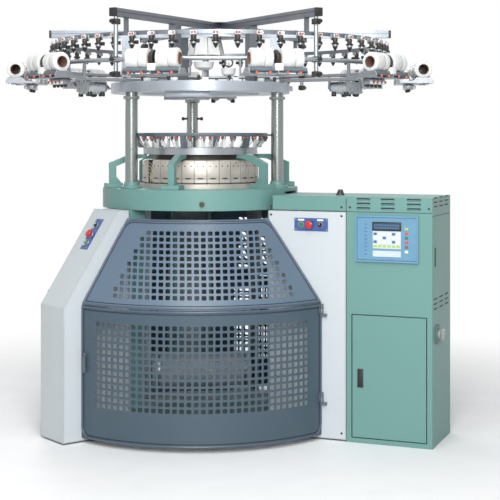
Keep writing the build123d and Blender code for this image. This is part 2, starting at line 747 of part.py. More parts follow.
def spread(middle, count, step):
    return [middle + (i - (count - 1) / 2) * step for i in range(count)]


guards = {}
for place, span in SPANS.items():
    middle, rows = UPPER_WINDOWS[place]
    spots = []
    for z, count, step in rows:
        spots += window_spots(spread(middle, count, step), z, cone_radius(z), CONE_TILT)
    if place == "front":
        guards[place] = guard_band(*span, UPPER_OUTLINE, spots)
        continue
    guards[place] = guard_band(*span, UPPER_OUTLINE, spots, REAR_UPPER_OPENING)
    spots = []
    for z in REAR_LOWER_ROWS:
        spots += window_spots(spread(middle, 4, 18), z, GUARD_R)
    guards[f"{place}_lower"] = guard_band(*span, LOWER_OUTLINE, spots, REAR_LOWER_OPENING)
finish(guards["front"], "front_upper_guard")

with BuildPart() as rear_upper_guards:
    add(guards["right"].part)
    add(guards["left"].part)
finish(rear_upper_guards, "rear_upper_guards")

with BuildPart() as rear_lower_guards:
    add(guards["right_lower"].part)
    add(guards["left_lower"].part)
finish(rear_lower_guards, "rear_lower_guards")

# Front gate, with knuckles on its right edge
HINGE_REACH = sqrt(GUARD_R**2 - FRONT**2) + HINGE_CLEAR
HINGE_SPOT = OUT * HINGE_REACH + FORWARD * (FRONT + HINGE_OUT)
HINGE_LEVELS = (195, 648)
gate_spots = []
for z in (200, 360, 520):
    gate_spots += window_spots(spread(265, 6, 12.5), z, GUARD_R)
gate_sheet = guard_band(*SPANS["front"], LOWER_OUTLINE, gate_spots)
with BuildPart() as front_gate:
    add(gate_sheet.part)
    for level in HINGE_LEVELS:
        with BuildSketch(Plane(origin=HINGE_SPOT + Vector(0, 0, level), x_dir=OUT, z_dir=(0, 0, 1))):
            RegularPolygon(HINGE_BARREL_R, TURNED_SIDES)
            with Locations((-HINGE_BARREL_R - 4, 0)):
                Rectangle(2 * HINGE_BARREL_R, 2 * HINGE_BARREL_R - 4)
            RegularPolygon(HINGE_PIN_R + BORE_CLEARANCE, TURNED_SIDES, major_radius=False, mode=Mode.SUBTRACT)
        extrude(amount=HINGE_HEIGHT)
finish(front_gate, "front_gate")

with BuildPart() as gate_hinges:
    for level in HINGE_LEVELS:
        spot = Plane(origin=HINGE_SPOT + Vector(0, 0, level - 14), x_dir=OUT, z_dir=(0, 0, 1))
        with BuildSketch(spot):
            RegularPolygon(HINGE_PIN_R, TURNED_SIDES)
        extrude(amount=HINGE_HEIGHT + 16)
        with BuildSketch(spot):
            with Locations((10.5, (HINGE_OUT - HINGE_PIN_R) / 2)):
                Rectangle(30, HINGE_OUT + HINGE_PIN_R)
        extrude(amount=13)
finish(gate_hinges, "gate_hinges")

latch_angle = LEFT_LEG + degrees(left_edge) + 2.2
LATCH_FACE = Plane(
    origin=radial(latch_angle, GUARD_R + RUNNING_GAP, LATCH_Z),
    x_dir=(0, 0, 1),
    z_dir=radial(latch_angle),
)
with BuildPart() as gate_latch:
    with BuildSketch(LATCH_FACE):
        Rectangle(100, 22)
    extrude(amount=16)
finish(gate_latch, "gate_latch")

# Beam cover between the bed and the cabinet, and the breather cap on it
BEAM_MID_Y = (BACK - FRONT) / 2
with BuildPart() as beam_cover:
    with BuildSketch(level_plane(RIGHT_LEG, BEAM_BOTTOM)):
        with Locations(((BEAM_START + CABINET_IN - COVER_GAP) / 2, BEAM_MID_Y)):
            Rectangle(CABINET_IN - COVER_GAP - BEAM_START, FRONT + BACK)
    extrude(amount=CABINET_TOP - BEAM_BOTTOM)
    beam_open = beam_cover.faces().sort_by(Axis.Z)[0]
    offset(amount=-SHEET, openings=[beam_open])
    with BuildSketch(Plane.XY.offset(BEAM_BOTTOM)):
        Circle(BED_R + 2)
    extrude(amount=CABINET_TOP - BEAM_BOTTOM, mode=Mode.SUBTRACT)
finish(beam_cover, "beam_cover")

PLUG_X, PLUG_Z = -50, 1207
with BuildPart() as oil_caps:
    with BuildSketch(level_plane(RIGHT_LEG, CABINET_TOP, 850)):
        with Locations((0, -110)):
            RegularPolygon(24, 12)
    extrude(amount=30, taper=22)
    with BuildSketch(Plane(origin=(PLUG_X, 8 - BED_R, PLUG_Z), x_dir=(1, 0, 0), z_dir=(0, -1, 0))):
        RegularPolygon(15, 6)
    extrude(amount=16)
    with BuildSketch(Plane.XY.offset(PLUG_Z - 20)):
        Circle(BED_R)
    extrude(amount=40, mode=Mode.SUBTRACT)
finish(oil_caps, "oil_caps")

# Electric cabinet
CABINET_WIDE = CABINET_OUT - CABINET_IN
DOOR_PIVOT = OUT * (DOOR_OUT - DOOR_PIVOT_IN) + FORWARD * (FRONT - DOOR_PIVOT_DEEP)
LOUVRE_ROWS = (1193, 1216, 1239)
LOUVRE_SPOTS = (1021, 1148, 1283)
cabinet_mid = (CABINET_IN + CABINET_OUT) / 2
with BuildPart() as cabinet_shell:
    with BuildSketch(level_plane(RIGHT_LEG, 0)):
        with Locations((cabinet_mid, BEAM_MID_Y)):
            Rectangle(CABINET_WIDE, FRONT + BACK)
    extrude(amount=CABINET_TOP)
    offset(amount=-CABINET_SHEET, openings=cabinet_shell.faces().sort_by(Axis.Z)[:1])
    with BuildSketch(front_spot(0, 0, 5)):
        with Locations(((DOOR_IN + DOOR_OUT) / 2, (DOOR_LOW + DOOR_HIGH) / 2)):
            Rectangle(DOOR_OUT - DOOR_IN, DOOR_HIGH - DOOR_LOW)
        with Locations(((PANEL_IN + PANEL_OUT) / 2, (PANEL_LOW + PANEL_HIGH) / 2)):
            Rectangle(PANEL_OUT - PANEL_IN - 40, PANEL_HIGH - PANEL_LOW - 40)
        with Locations(*[(x, z) for x in LOUVRE_SPOTS for z in LOUVRE_ROWS]):
            Rectangle(LOUVRE_LONG, LOUVRE_HIGH)
    extrude(amount=-5 - CABINET_SHEET - 2, mode=Mode.SUBTRACT)
    floor_spot = level_plane(RIGHT_LEG, 0)
    with BuildSketch(floor_spot):
        with Locations((cabinet_mid, BEAM_MID_Y)):
            Rectangle(CABINET_WIDE - 2 * CABINET_SHEET, FRONT + BACK - 2 * CABINET_SHEET)
    extrude(amount=CABINET_SHEET)
    for level, bracket in ((DOOR_LOW - 8, DOOR_LOW - 8), (DOOR_HIGH - DOOR_GAP - 12, DOOR_HIGH + 2)):
        with BuildSketch(Plane(origin=DOOR_PIVOT + Vector(0, 0, level), x_dir=OUT, z_dir=(0, 0, 1))):
            RegularPolygon(DOOR_PIN_R, TURNED_SIDES)
        extrude(amount=DOOR_GAP + 18)
        with BuildSketch(Plane(origin=DOOR_PIVOT + Vector(0, 0, bracket), x_dir=OUT, z_dir=(0, 0, 1))):
            with Locations((0, 2)):
                Rectangle(16, 2 * DOOR_PIVOT_DEEP)
        extrude(amount=6)
finish(cabinet_shell, "cabinet_shell")

LOCK_REACH, LOCK_Z = 1005, 330
LOCK_WIDE, LOCK_TALL = 31, 96
with BuildPart() as cabinet_door:
    door_wide = DOOR_OUT - DOOR_IN - 2 * DOOR_GAP
    door_tall = DOOR_HIGH - DOOR_LOW - 2 * DOOR_GAP
    with BuildSketch(front_spot((DOOR_IN + DOOR_OUT) / 2, (DOOR_LOW + DOOR_HIGH) / 2)):
        Rectangle(door_wide, door_tall)
    extrude(amount=-DOOR_FLANGE)
    back = cabinet_door.faces().sort_by(Axis((0, 0, 0), FORWARD))[0]
    offset(amount=-SHEET, openings=[back])
    for level in (DOOR_LOW + DOOR_GAP, DOOR_HIGH - DOOR_GAP - 14):
        with BuildSketch(Plane(origin=DOOR_PIVOT + Vector(0, 0, level), x_dir=OUT, z_dir=(0, 0, 1))):
            Rectangle(9, 9)
        extrude(amount=14)
        with BuildSketch(Plane(origin=DOOR_PIVOT + Vector(0, 0, level), x_dir=OUT, z_dir=(0, 0, 1))):
            RegularPolygon(DOOR_PIN_R + BORE_CLEARANCE, TURNED_SIDES, major_radius=False)
        extrude(amount=14, mode=Mode.SUBTRACT)
    with BuildSketch(front_spot(LOCK_REACH, LOCK_Z)):
        Rectangle(LOCK_WIDE, LOCK_TALL)
    extrude(amount=3)
finish(cabinet_door, "cabinet_door")

with BuildPart() as lock_paddle:
    with BuildSketch(front_spot(LOCK_REACH, LOCK_Z - 8, 3 + RUNNING_GAP)):
        Rectangle(LOCK_WIDE - 9, LOCK_TALL - 30)
    extrude(amount=4)
finish(lock_paddle, "lock_paddle")

panel_mid = ((PANEL_IN + PANEL_OUT) / 2, (PANEL_LOW + PANEL_HIGH) / 2)
with BuildPart() as panel_frame:
    with BuildSketch(front_spot(*panel_mid)):
        Rectangle(PANEL_OUT - PANEL_IN, PANEL_HIGH - PANEL_LOW)
        foil_size = (PANEL_OUT - PANEL_IN - 2 * PANEL_RIM, PANEL_HIGH - PANEL_LOW - 2 * PANEL_RIM)
        Rectangle(*foil_size, mode=Mode.SUBTRACT)
    extrude(amount=PANEL_PROUD)
finish(panel_frame, "panel_frame")

with BuildPart() as control_keypad:
    with BuildSketch(front_spot(*panel_mid)):
        Rectangle(PANEL_OUT - PANEL_IN - 2 * PANEL_RIM, PANEL_HIGH - PANEL_LOW - 2 * PANEL_RIM)
    extrude(amount=PANEL_PROUD - 4)
    with BuildSketch(front_spot(panel_mid[0], 1101, PANEL_PROUD - 4)):
        Rectangle(140, 36)
    extrude(amount=3)
finish(control_keypad, "control_keypad")

with BuildPart() as electrics_plate:
    with BuildSketch(level_plane(RIGHT_LEG, 120)):
        with Locations((cabinet_mid, BACK - CABINET_SHEET - 24)):
            Rectangle(360, 3)
    extrude(amount=900)
    plate_back = Plane(origin=OUT * cabinet_mid + FORWARD * (CABINET_SHEET - BACK), x_dir=OUT, z_dir=FORWARD)
    with BuildSketch(plate_back):
        with Locations((-150, 160), (150, 160), (-150, 980), (150, 980)):
            Rectangle(20, 20)
    extrude(amount=24)
    inverter_face = FORWARD * (22 - BACK + CABINET_SHEET + 3.5)
    with BuildSketch(Plane(origin=OUT * cabinet_mid + inverter_face, x_dir=OUT, z_dir=FORWARD)):
        with Locations((-70, 760), (90, 760)):
            Rectangle(130, 220)
        with Locations((0, 480)):
            Rectangle(300, 90)
        with Locations((0, 260)):
            Rectangle(300, 40)
    extrude(amount=100)
finish(electrics_plate, "electrics_plate")

SWITCH_Z, SWITCH_BACK = 560, 94
SWITCH_PLATE_THICK = 8
SWITCH_FACE = Plane(origin=OUT * CABINET_OUT + FORWARD * (FRONT - SWITCH_BACK) + Vector(0, 0, SWITCH_Z),
                    x_dir=FORWARD, z_dir=OUT)
with BuildPart() as main_switch:
    with BuildSketch(SWITCH_FACE.offset(SWITCH_PLATE_THICK + RUNNING_GAP)):
        RegularPolygon(26, 12)
    extrude(amount=14)
    with BuildSketch(SWITCH_FACE.offset(SWITCH_PLATE_THICK + RUNNING_GAP + 14)):
        Rectangle(16, 60)
    extrude(amount=18)
finish(main_switch, "main_switch")

with BuildPart() as station_plates:
    for spot in (RIGHT_STATION, LEFT_STATION):
        with BuildSketch(spot):
            Rectangle(STATION_LONG, STATION_HIGH)
            for at, radius in STATION_HOLES:
                with Locations((at, 0)):
                    RegularPolygon(radius, TURNED_SIDES, major_radius=False, mode=Mode.SUBTRACT)
            with Locations((SELECTOR_AT, 0)):
                stem_hole = SELECTOR_STEM_R + BORE_CLEARANCE
                RegularPolygon(stem_hole, TURNED_SIDES, major_radius=False, mode=Mode.SUBTRACT)
        extrude(amount=STATION_THICK)
    with BuildSketch(SWITCH_FACE):
        Rectangle(70, 90)
    extrude(amount=SWITCH_PLATE_THICK)
finish(station_plates, "station_plates")

for spot, side in ((RIGHT_STATION, "right"), (LEFT_STATION, "left")):
    face = spot.offset(STATION_THICK)
    with BuildPart() as start_button:
        with BuildSketch(spot.offset(-SHEET)):
            with Locations((START_AT, 0)):
                RegularPolygon(START_R, TURNED_SIDES)
        extrude(amount=SHEET + STATION_THICK + BUTTON_OUT)
    finish(start_button, f"start_button_{side}")
    with BuildPart() as stop_button:
        with BuildSketch(spot.offset(-SHEET)):
            with Locations((STOP_AT, 0)):
                RegularPolygon(STOP_STEM_R, TURNED_SIDES)
        extrude(amount=SHEET + STATION_THICK + STOP_OUT - STOP_HEAD)
        with BuildSketch(face.offset(STOP_OUT - STOP_HEAD)):
            with Locations((STOP_AT, 0)):
                RegularPolygon(STOP_R, PULLEY_SIDES)
        extrude(amount=STOP_HEAD)
    finish(stop_button, f"stop_button_{side}")
    with BuildPart() as selector:
        with BuildSketch(spot):
            with Locations((SELECTOR_AT, 0)):
                RegularPolygon(SELECTOR_STEM_R, TURNED_SIDES)
        extrude(amount=STATION_THICK + RUNNING_GAP)
        with BuildSketch(face.offset(RUNNING_GAP)):
            with Locations((SELECTOR_AT, 0)):
                RegularPolygon(SELECTOR_R, 12)
        extrude(amount=6)
        with BuildSketch(face.offset(RUNNING_GAP + 6)):
            with Locations((SELECTOR_AT, 0)):
                Rectangle(7, 2 * SELECTOR_R - 2)
        extrude(amount=10)
    finish(selector, f"selector_{side}")

# Elastane creel
CREEL = Plane(origin=(CREEL_X, CREEL_Y, 0), x_dir=radial(CREEL_TURN), z_dir=(0, 0, 1))


def creel_point(angle, radius):
    """Point given by its angle and radius in the creel's own frame."""
    return Vector(CREEL_X, CREEL_Y, 0) + radial(CREEL_TURN + angle, radius)


def reach_to_circle(angle, circle_r):
    """Distance from the creel's centre, along a direction, to a circle about the machine's axis."""
    along = creel_point(0, 0).dot(radial(CREEL_TURN + angle))
    off = CREEL_X**2 + CREEL_Y**2 - circle_r**2
    return -along + sqrt(along**2 - off)


BEAM_ANGLES = [index * 60 for index in range(6)]


def beam_bottom(angle):
    """Underside of the beam above a direction: one straight beam lies under the two crossed ones."""
    return BEAM_Z if angle % 180 == 0 else CROSS_BEAM_Z


def beam_reach(angle):
    return BEAM_REACH if angle % 180 == 0 else CROSS_BEAM_REACH


def creel_level(angle, z, radius=0.0):
    """Level plane in the creel's frame, with x outwards along a direction."""
    origin = creel_point(angle, radius) + Vector(0, 0, z)
    return Plane(origin=origin, x_dir=radial(CREEL_TURN + angle), z_dir=(0, 0, 1))


with BuildPart() as creel_beams:
    for angle in BEAM_ANGLES:
        with BuildSketch(creel_level(angle, beam_bottom(angle), beam_reach(angle) / 2)):
            Rectangle(beam_reach(angle), BEAM_SIZE)
        extrude(amount=BEAM_SIZE)
    with BuildSketch(CREEL.offset(BEAM_Z)):
        RegularPolygon(110, 6)
    extrude(amount=2 * BEAM_SIZE)
finish(creel_beams, "creel_beams")

with BuildPart() as creel_posts:
    for angle in BEAM_ANGLES:
        with BuildSketch(creel_level(angle, PLATE_TOP, reach_to_circle(angle, CREEL_POST_R))):
            Rectangle(CREEL_POST, CREEL_POST)
        extrude(amount=beam_bottom(angle) - PLATE_TOP)
finish(creel_posts, "creel_posts")

CAP_THICK = 14
with BuildPart() as beam_end_caps:
    for angle in BEAM_ANGLES:
        with BuildSketch(creel_level(angle, beam_bottom(angle) - 1, beam_reach(angle) + CAP_THICK / 2)):
            Rectangle(CAP_THICK, BEAM_SIZE + 2)
        extrude(amount=BEAM_SIZE + 2)
finish(beam_end_caps, "beam_end_caps")

with BuildPart() as creel_hub:
    with BuildSketch(Plane(origin=(30, 0, CREEL_HUB_Z), x_dir=(1, 0, 0), z_dir=(0, 0, 1))):
        RegularPolygon(CREEL_HUB_R, 8)
    extrude(amount=BEAM_Z - CREEL_HUB_Z, taper=12)
finish(creel_hub, "creel_hub")

RAIL_SIDES = 24
with BuildPart() as creel_rail:
    with BuildSketch(CREEL.offset(RAIL_Z)):
        RegularPolygon(RAIL_R, RAIL_SIDES)
        RegularPolygon(RAIL_R - RAIL_SECTION, RAIL_SIDES, mode=Mode.SUBTRACT)
    extrude(amount=RAIL_SECTION)
    for angle in BEAM_ANGLES:
        if beam_bottom(angle) == BEAM_Z:
            continue
        with BuildSketch(creel_level(angle, ROD_LOW_Z, ROD_CIRCLE_R)):
            Rectangle(ROD_SIZE, ROD_SIZE)
        extrude(amount=beam_bottom(angle) - ROD_LOW_Z)
finish(creel_rail, "creel_rail")

with BuildPart() as head_ring:
    with BuildSketch(CREEL.offset(HEAD_RING_Z)):
        Circle(HEAD_RING_R + HEAD_RING_THICK / 2)
        Circle(HEAD_RING_R - HEAD_RING_THICK / 2, mode=Mode.SUBTRACT)
    extrude(amount=HEAD_RING_HEIGHT)
    for angle in BEAM_ANGLES:
        ring_top = HEAD_RING_Z + HEAD_RING_HEIGHT
        with BuildSketch(creel_level(angle, ring_top, HEAD_RING_R - 6)):
            Rectangle(16, 20)
        extrude(amount=beam_bottom(angle) - ring_top)
finish(head_ring, "head_ring")

with BuildPart() as feeder_heads:
    with BuildSketch(CREEL.offset(HEAD_LOW)):
        head_circle_r = HEAD_RING_R + (HEAD_RING_THICK + HEAD_DEPTH) / 2 + HEAD_GAP
        with PolarLocations(head_circle_r, HEAD_COUNT, HEAD_ANGLE_STEP / 2):
            Rectangle(HEAD_DEPTH, HEAD_WIDTH)
    extrude(amount=HEAD_RING_Z + HEAD_RING_HEIGHT - HEAD_LOW)
finish(feeder_heads, "feeder_heads")

# Package stations: a tray whose two ridges cradle a pair of packages
SEAT_ANGLE = 30
SEAT_R = PACKAGE_R * cos(radians(180 / PACKAGE_SIDES)) + PACKAGE_SEAT_GAP
SEAT_HALF = SEAT_R * sin(radians(SEAT_ANGLE))
SEAT_DROP = SEAT_R * cos(radians(SEAT_ANGLE))
SEAT_Z = PACKAGE_Z - SEAT_DROP
TRAY_BOTTOM = PACKAGE_Z - 78
TRAY_START_R = RAIL_R - RAIL_SECTION - 3
PAIR_DIRECTIONS = [-90 + side * angle for angle in PAIR_ANGLES for side in (1, -1)]


def station_plane(direction, shift):
    """Upright plane across a station: x outwards from the creel's centre, y up, z along the packages."""
    outward = radial(CREEL_TURN + direction)
    along = Vector(outward.Y, -outward.X, 0)
    return Plane(origin=creel_point(0, 0) + along * shift, x_dir=outward, z_dir=along)


with BuildPart() as package_trays:
    for direction in PAIR_DIRECTIONS:
        with BuildSketch(station_plane(direction, -TRAY_LONG / 2)):
            with BuildLine():
                Polyline(
                    (TRAY_START_R, TRAY_BOTTOM),
                    (PACKAGE_RING_R + 52, TRAY_BOTTOM),
                    (PACKAGE_RING_R + 52, SEAT_Z + 4),
                    (PACKAGE_RING_R + SEAT_HALF + 14, SEAT_Z + 8),
                    (PACKAGE_RING_R + SEAT_HALF, SEAT_Z),
                    (PACKAGE_RING_R + SEAT_HALF, TRAY_BOTTOM + TRAY_THICK),
                    (PACKAGE_RING_R - SEAT_HALF, TRAY_BOTTOM + TRAY_THICK),
                    (PACKAGE_RING_R - SEAT_HALF, SEAT_Z),
                    (PACKAGE_RING_R - SEAT_HALF - 14, SEAT_Z + 8),
                    (PACKAGE_RING_R - 52, SEAT_Z + 4),
                    (PACKAGE_RING_R - 52, TRAY_BOTTOM + TRAY_THICK),
                    (TRAY_START_R + 8, TRAY_BOTTOM + TRAY_THICK),
                    (TRAY_START_R + 8, RAIL_Z),
                    (TRAY_START_R, RAIL_Z),
                    close=True,
                )
            make_face()
        extrude(amount=TRAY_LONG)
finish(package_trays, "package_trays")

with BuildPart() as elastane_packages:
    for direction in PAIR_DIRECTIONS:
        for shift in (-PACKAGE_SPACING / 2, PACKAGE_SPACING / 2):
            with BuildSketch(station_plane(direction, shift - PACKAGE_LONG / 2)):
                with Locations((PACKAGE_RING_R, PACKAGE_Z)):
                    RegularPolygon(PACKAGE_R, PACKAGE_SIDES, rotation=180 / PACKAGE_SIDES)
            extrude(amount=PACKAGE_LONG)
finish(elastane_packages, "elastane_packages")

with BuildPart() as stop_motions:
    for direction in PAIR_DIRECTIONS[2:8]:
        with BuildSketch(station_plane(direction, -70)):
            with Locations((RAIL_R + 35, TRAY_BOTTOM - 22)):
                Rectangle(54, 44)
        extrude(amount=140)
finish(stop_motions, "stop_motions")

with BuildPart() as creel_drives:
    for angle in DRIVE_ANGLES:
        start, end = 250, 860
        with BuildSketch(creel_level(angle, PLATE_TOP)):
            with Locations(((start + end) / 2, 0)):
                Rectangle(end - start, 40)
        extrude(amount=20)
        with BuildSketch(creel_level(angle, PLATE_TOP)):
            with Locations((770, 0)):
                Rectangle(110, 170)
        extrude(amount=-78)
finish(creel_drives, "creel_drives")
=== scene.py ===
"""Large circular knitting machine: the looks of its pieces, laid out as a Blender add-on."""
import math
from functools import cache

import bmesh
import bpy
from bpy.props import FloatProperty, FloatVectorProperty, IntProperty, PointerProperty
from mathutils import Matrix, Vector


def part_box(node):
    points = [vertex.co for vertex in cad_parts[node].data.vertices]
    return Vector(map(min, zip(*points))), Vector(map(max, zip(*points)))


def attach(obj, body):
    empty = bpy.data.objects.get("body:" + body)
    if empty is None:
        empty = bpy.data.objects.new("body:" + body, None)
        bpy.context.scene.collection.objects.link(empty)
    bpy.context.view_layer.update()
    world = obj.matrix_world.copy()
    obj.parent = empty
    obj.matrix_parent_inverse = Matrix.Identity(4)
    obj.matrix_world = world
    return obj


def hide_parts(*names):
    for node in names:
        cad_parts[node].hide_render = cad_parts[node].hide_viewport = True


bl_info = {
    "name": "Circular knitting machine",
    "version": (1, 0, 0),
    "blender": (4, 5, 0),
    "location": "View3D > Sidebar > Knitting",
    "description": "Builds the finishes and the fine pieces of a large circular knitting machine",
    "category": "Object",
}

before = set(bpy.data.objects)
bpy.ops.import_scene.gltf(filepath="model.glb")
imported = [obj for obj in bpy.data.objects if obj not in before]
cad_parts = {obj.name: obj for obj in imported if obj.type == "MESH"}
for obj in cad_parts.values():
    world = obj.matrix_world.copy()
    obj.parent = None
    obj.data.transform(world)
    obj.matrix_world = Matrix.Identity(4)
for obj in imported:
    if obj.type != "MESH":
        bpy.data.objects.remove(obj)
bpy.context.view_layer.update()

# Pieces are built in millimetres and degrees, and settle() scales them. The stage is in metres.
MM = 0.001
X, Y, UP = Vector((1, 0, 0)), Vector((0, 1, 0)), Vector((0, 0, 1))
HOME = Matrix.Identity(4)
RIGHT_LEG, REAR_LEG, LEFT_LEG = 330.0, 90.0, 210.0
GUARD_RADIUS, GUARD_LOW, GATE_TOP, CONE_FOOT, GUARD_HIGH = 840.0, 26.0, 698, 703, 1130.0
CONE_RUN, CONE_RISE = 270, 427
CONE_LEAN = math.atan2(CONE_RUN, CONE_RISE)
GUARD_SIDES = {
    "front": (210, 115.8, 330, 263.8), "right": (-30, 115.8, 90, 115.8), "left": (90, 115.8, 210, 115.8)}
CABINET_FRONT, CABINET_SIDE = 263, 1378
CABINET_LEFT, CABINET_SPLIT = 505, 929
COLUMN_CIRCLE, COLUMN_FOOT, COLUMN_TOP = 456, 1280, 1755
OPEN_CAM_BOX, CAM_STEP = 204.0, 12
CREEL_CENTRE, CREEL_TURN = Vector((108, -16, 0)), -8.3
BEAM_ANGLES = range(0, 360, 60)
QUARTERS = (1, 0), (0, 1), (-1, 0), (0, -1)
RAIL_CIRCLE, RAIL_Z, HANGER_CIRCLE = 993, 1932.5, 980
HEAD_COUNT, HEAD_CIRCLE = 54, 922.3
# Circle and height of each ring of small pieces round the machine's axis.
BASE_SCREWS, SINKERS, FINGERS = (329.0, 1302.5), (247.0, 1474.0), (311.0, 1496.0)
POSTS, TUBES = (364.0, 1559.0), (362.0, 1564.0)
PLATE_BOLTS, PLATE_FITTINGS = (415.0, 1848.5), (466.0, 1848.4)
PACKAGE_CIRCLE, PACKAGE_Z, STOP_CIRCLE = 1115, 1925, 1045
PAIR_DIRECTIONS = [-90 + side * angle for angle in (15, 49, 90, 131, 165) for side in (1, -1)]


def tone(red, green, blue):
    """Scene-linear colour from the 0 to 255 values of a paint card."""
    parts = [value / 255 for value in (red, green, blue)]
    return tuple(p / 12.92 if p <= 0.04045 else ((p + 0.055) / 1.055) ** 2.4 for p in parts) + (1.0,)


def heading(angle):
    """Unit direction at an angle round the machine."""
    turn = math.radians(angle)
    return Vector((math.cos(turn), math.sin(turn), 0))


def spot(angle, radius, z=0.0, lateral=0.0):
    """Point out along an angle, then sideways, where positive is clockwise from above."""
    return heading(angle) * radius + heading(angle - 90) * lateral + UP * z


def at(*point):
    """Matrix that moves a shape."""
    return Matrix.Translation(point)


def spin(angle):
    """Matrix that turns a shape about z."""
    return Matrix.Rotation(math.radians(angle), 4, "Z")


def placed(origin, along, face):
    """Matrix that puts a shape's x along one direction and its z out of a face."""
    along, face = along.normalized(), face.normalized()
    place = Matrix((along, face.cross(along), face)).transposed().to_4x4()
    place.translation = origin
    return place


def facing(point, way=X):
    """Matrix that lays a shape's z along a level way and its x upwards."""
    return placed(Vector(point), UP, way)


def front(reach, z, proud=0.0):
    """Place on the cabinet's front: x to the right, y up, z out of the sheet."""
    origin = spot(RIGHT_LEG, reach, z, CABINET_FRONT + proud)
    return placed(origin, heading(RIGHT_LEG), heading(RIGHT_LEG - 90))


def outer(lateral, z):
    """Place on the cabinet's outer side: x to the back, y up, z out of the sheet."""
    return placed(spot(RIGHT_LEG, CABINET_SIDE, z, lateral), heading(RIGHT_LEG + 90), heading(RIGHT_LEG))


def creel_spot(direction, radius, z, shift=0.0):
    """Point in the creel's own frame, with a shift along its circle."""
    return CREEL_CENTRE + spot(CREEL_TURN + direction, radius, z, shift)


def creel_place(direction, radius, z):
    """Place in the creel's frame: x outwards, y along its circle, z up."""
    return placed(creel_spot(direction, radius, z), heading(CREEL_TURN + direction), UP)


def linked(name, data):
    """New object in the scene."""
    thing = bpy.data.objects.new(name, data)
    bpy.context.scene.collection.objects.link(thing)
    return thing


class Nodes:
    """Adds nodes to a tree, with their values and the sockets that feed them."""

    def __init__(self, tree):
        self.tree = tree
        tree.nodes.clear()

    def add(self, kind, feeds=None, **settings):
        node = self.tree.nodes.new(kind)
        for key, value in settings.items():
            setattr(node, key, value)
        for key, value in (feeds or {}).items():
            if isinstance(value, bpy.types.NodeSocket):
                self.link(value, node.inputs[key])
            else:
                node.inputs[key].default_value = value
        return node

    def link(self, source, target):
        self.tree.links.new(source, target)

    def calc(self, operation, *values):
        return self.add("ShaderNodeMath", dict(enumerate(values)), operation=operation).outputs[0]

    def times(self, first, second):
        return self.calc("MULTIPLY", first, second)

    def ramp(self, value, low, high, bottom=0.0, top=1.0, kind="LINEAR"):
        feeds = {"Value": value, 1: low, 2: high, 3: bottom, 4: top}
        return self.add("ShaderNodeMapRange", feeds, interpolation_type=kind).outputs[0]

    def noise(self, vector, scale, detail):
        return self.add("ShaderNodeTexNoise", {"Vector": vector, "Scale": scale, "Detail": detail}).outputs[0]

    def blend(self, amount, first, second):
        return self.add("ShaderNodeMix", {0: amount, 6: first, 7: second}, data_type="RGBA").outputs[2]

    def split(self, vector):
        return self.add("ShaderNodeSeparateXYZ", {0: vector}).outputs

    def join(self, x=0.0, y=0.0, z=0.0):
        return self.add("ShaderNodeCombineXYZ", {0: x, 1: y, 2: z}).outputs[0]

    def group(self, builder, feeds):
        """Places a shared group, with its own values."""
        return self.add("ShaderNodeGroup", feeds, node_tree=builder()).outputs

    def attribute(self, name, kind):
        return self.add("GeometryNodeInputNamedAttribute", {"Name": name}, data_type=kind).outputs[0]

    def instance(self, thing):
        return self.add("GeometryNodeObjectInfo", {"Object": thing, "As Instance": True}).outputs["Geometry"]

    def seen(self):
        """1 for camera, glossy and transmission rays, which see the bright background."""
        path = self.add("ShaderNodeLightPath").outputs
        direct = self.calc("MAXIMUM", path["Is Camera Ray"], path["Is Glossy Ray"])
        return self.calc("MAXIMUM", direct, path["Is Transmission Ray"])


def new_tree(name, kind, inputs, outputs):
    """Node group with named inputs and outputs: its helper and its ends."""
    tree = bpy.data.node_groups.new(name, kind)
    for side, sockets in (("INPUT", inputs), ("OUTPUT", outputs)):
        for label, socket, *default in sockets:
            item = tree.interface.new_socket(label, in_out=side, socket_type=socket)
            if default:
                item.default_value = default[0]
    nodes = Nodes(tree)
    return nodes, nodes.add("NodeGroupInput").outputs, nodes.add("NodeGroupOutput").inputs


FLOAT, COLOUR, VECTOR, WHOLE = "NodeSocketFloat", "NodeSocketColor", "NodeSocketVector", "NodeSocketInt"
SHAPE, THING, FINISH = "NodeSocketGeometry", "NodeSocketObject", "NodeSocketMaterial"


@cache
def grain_group():
    """Slow patches of a second colour, and fine grain for roughness and height."""
    nodes, given, out = new_tree(
        "Surface grain", "ShaderNodeTree",
        [("Vector", VECTOR), ("Base", COLOUR), ("Tint", COLOUR), ("Patch scale", FLOAT, 3.0),
         ("Patch amount", FLOAT, 0.5), ("Fine scale", FLOAT, 200.0), ("Rough low", FLOAT, 0.3),
         ("Rough high", FLOAT, 0.5)],
        [("Color", COLOUR), ("Roughness", FLOAT), ("Height", FLOAT)])
    slow = nodes.noise(given["Vector"], given["Patch scale"], 4.0)
    fine = nodes.noise(given["Vector"], given["Fine scale"], 3.0)
    amount = nodes.times(nodes.ramp(slow, 0.32, 0.68), given["Patch amount"])
    mixed = nodes.calc("MULTIPLY_ADD", fine, 0.6, nodes.times(slow, 0.4))
    nodes.link(nodes.blend(amount, given["Base"], given["Tint"]), out["Color"])
    nodes.link(nodes.ramp(mixed, 0.3, 0.7, given["Rough low"], given["Rough high"]), out["Roughness"])
    nodes.link(fine, out["Height"])
    return nodes.tree


@cache
def lint_group():
    """Mask of lint that settles on faces turned upwards."""
    nodes, given, out = new_tree("Settled lint", "ShaderNodeTree",
                                 [("Vector", VECTOR), ("Amount", FLOAT, 0.3), ("Scale", FLOAT, 9.0)],
                                 [("Mask", FLOAT)])
    normal = nodes.split(nodes.add("ShaderNodeNewGeometry").outputs["Normal"])
    patch = nodes.ramp(nodes.noise(given["Vector"], given["Scale"], 6.0), 0.35, 0.7)
    level = nodes.ramp(normal[2], 0.55, 0.95)
    nodes.link(nodes.times(nodes.times(level, patch), given["Amount"]), out["Mask"])
    return nodes.tree


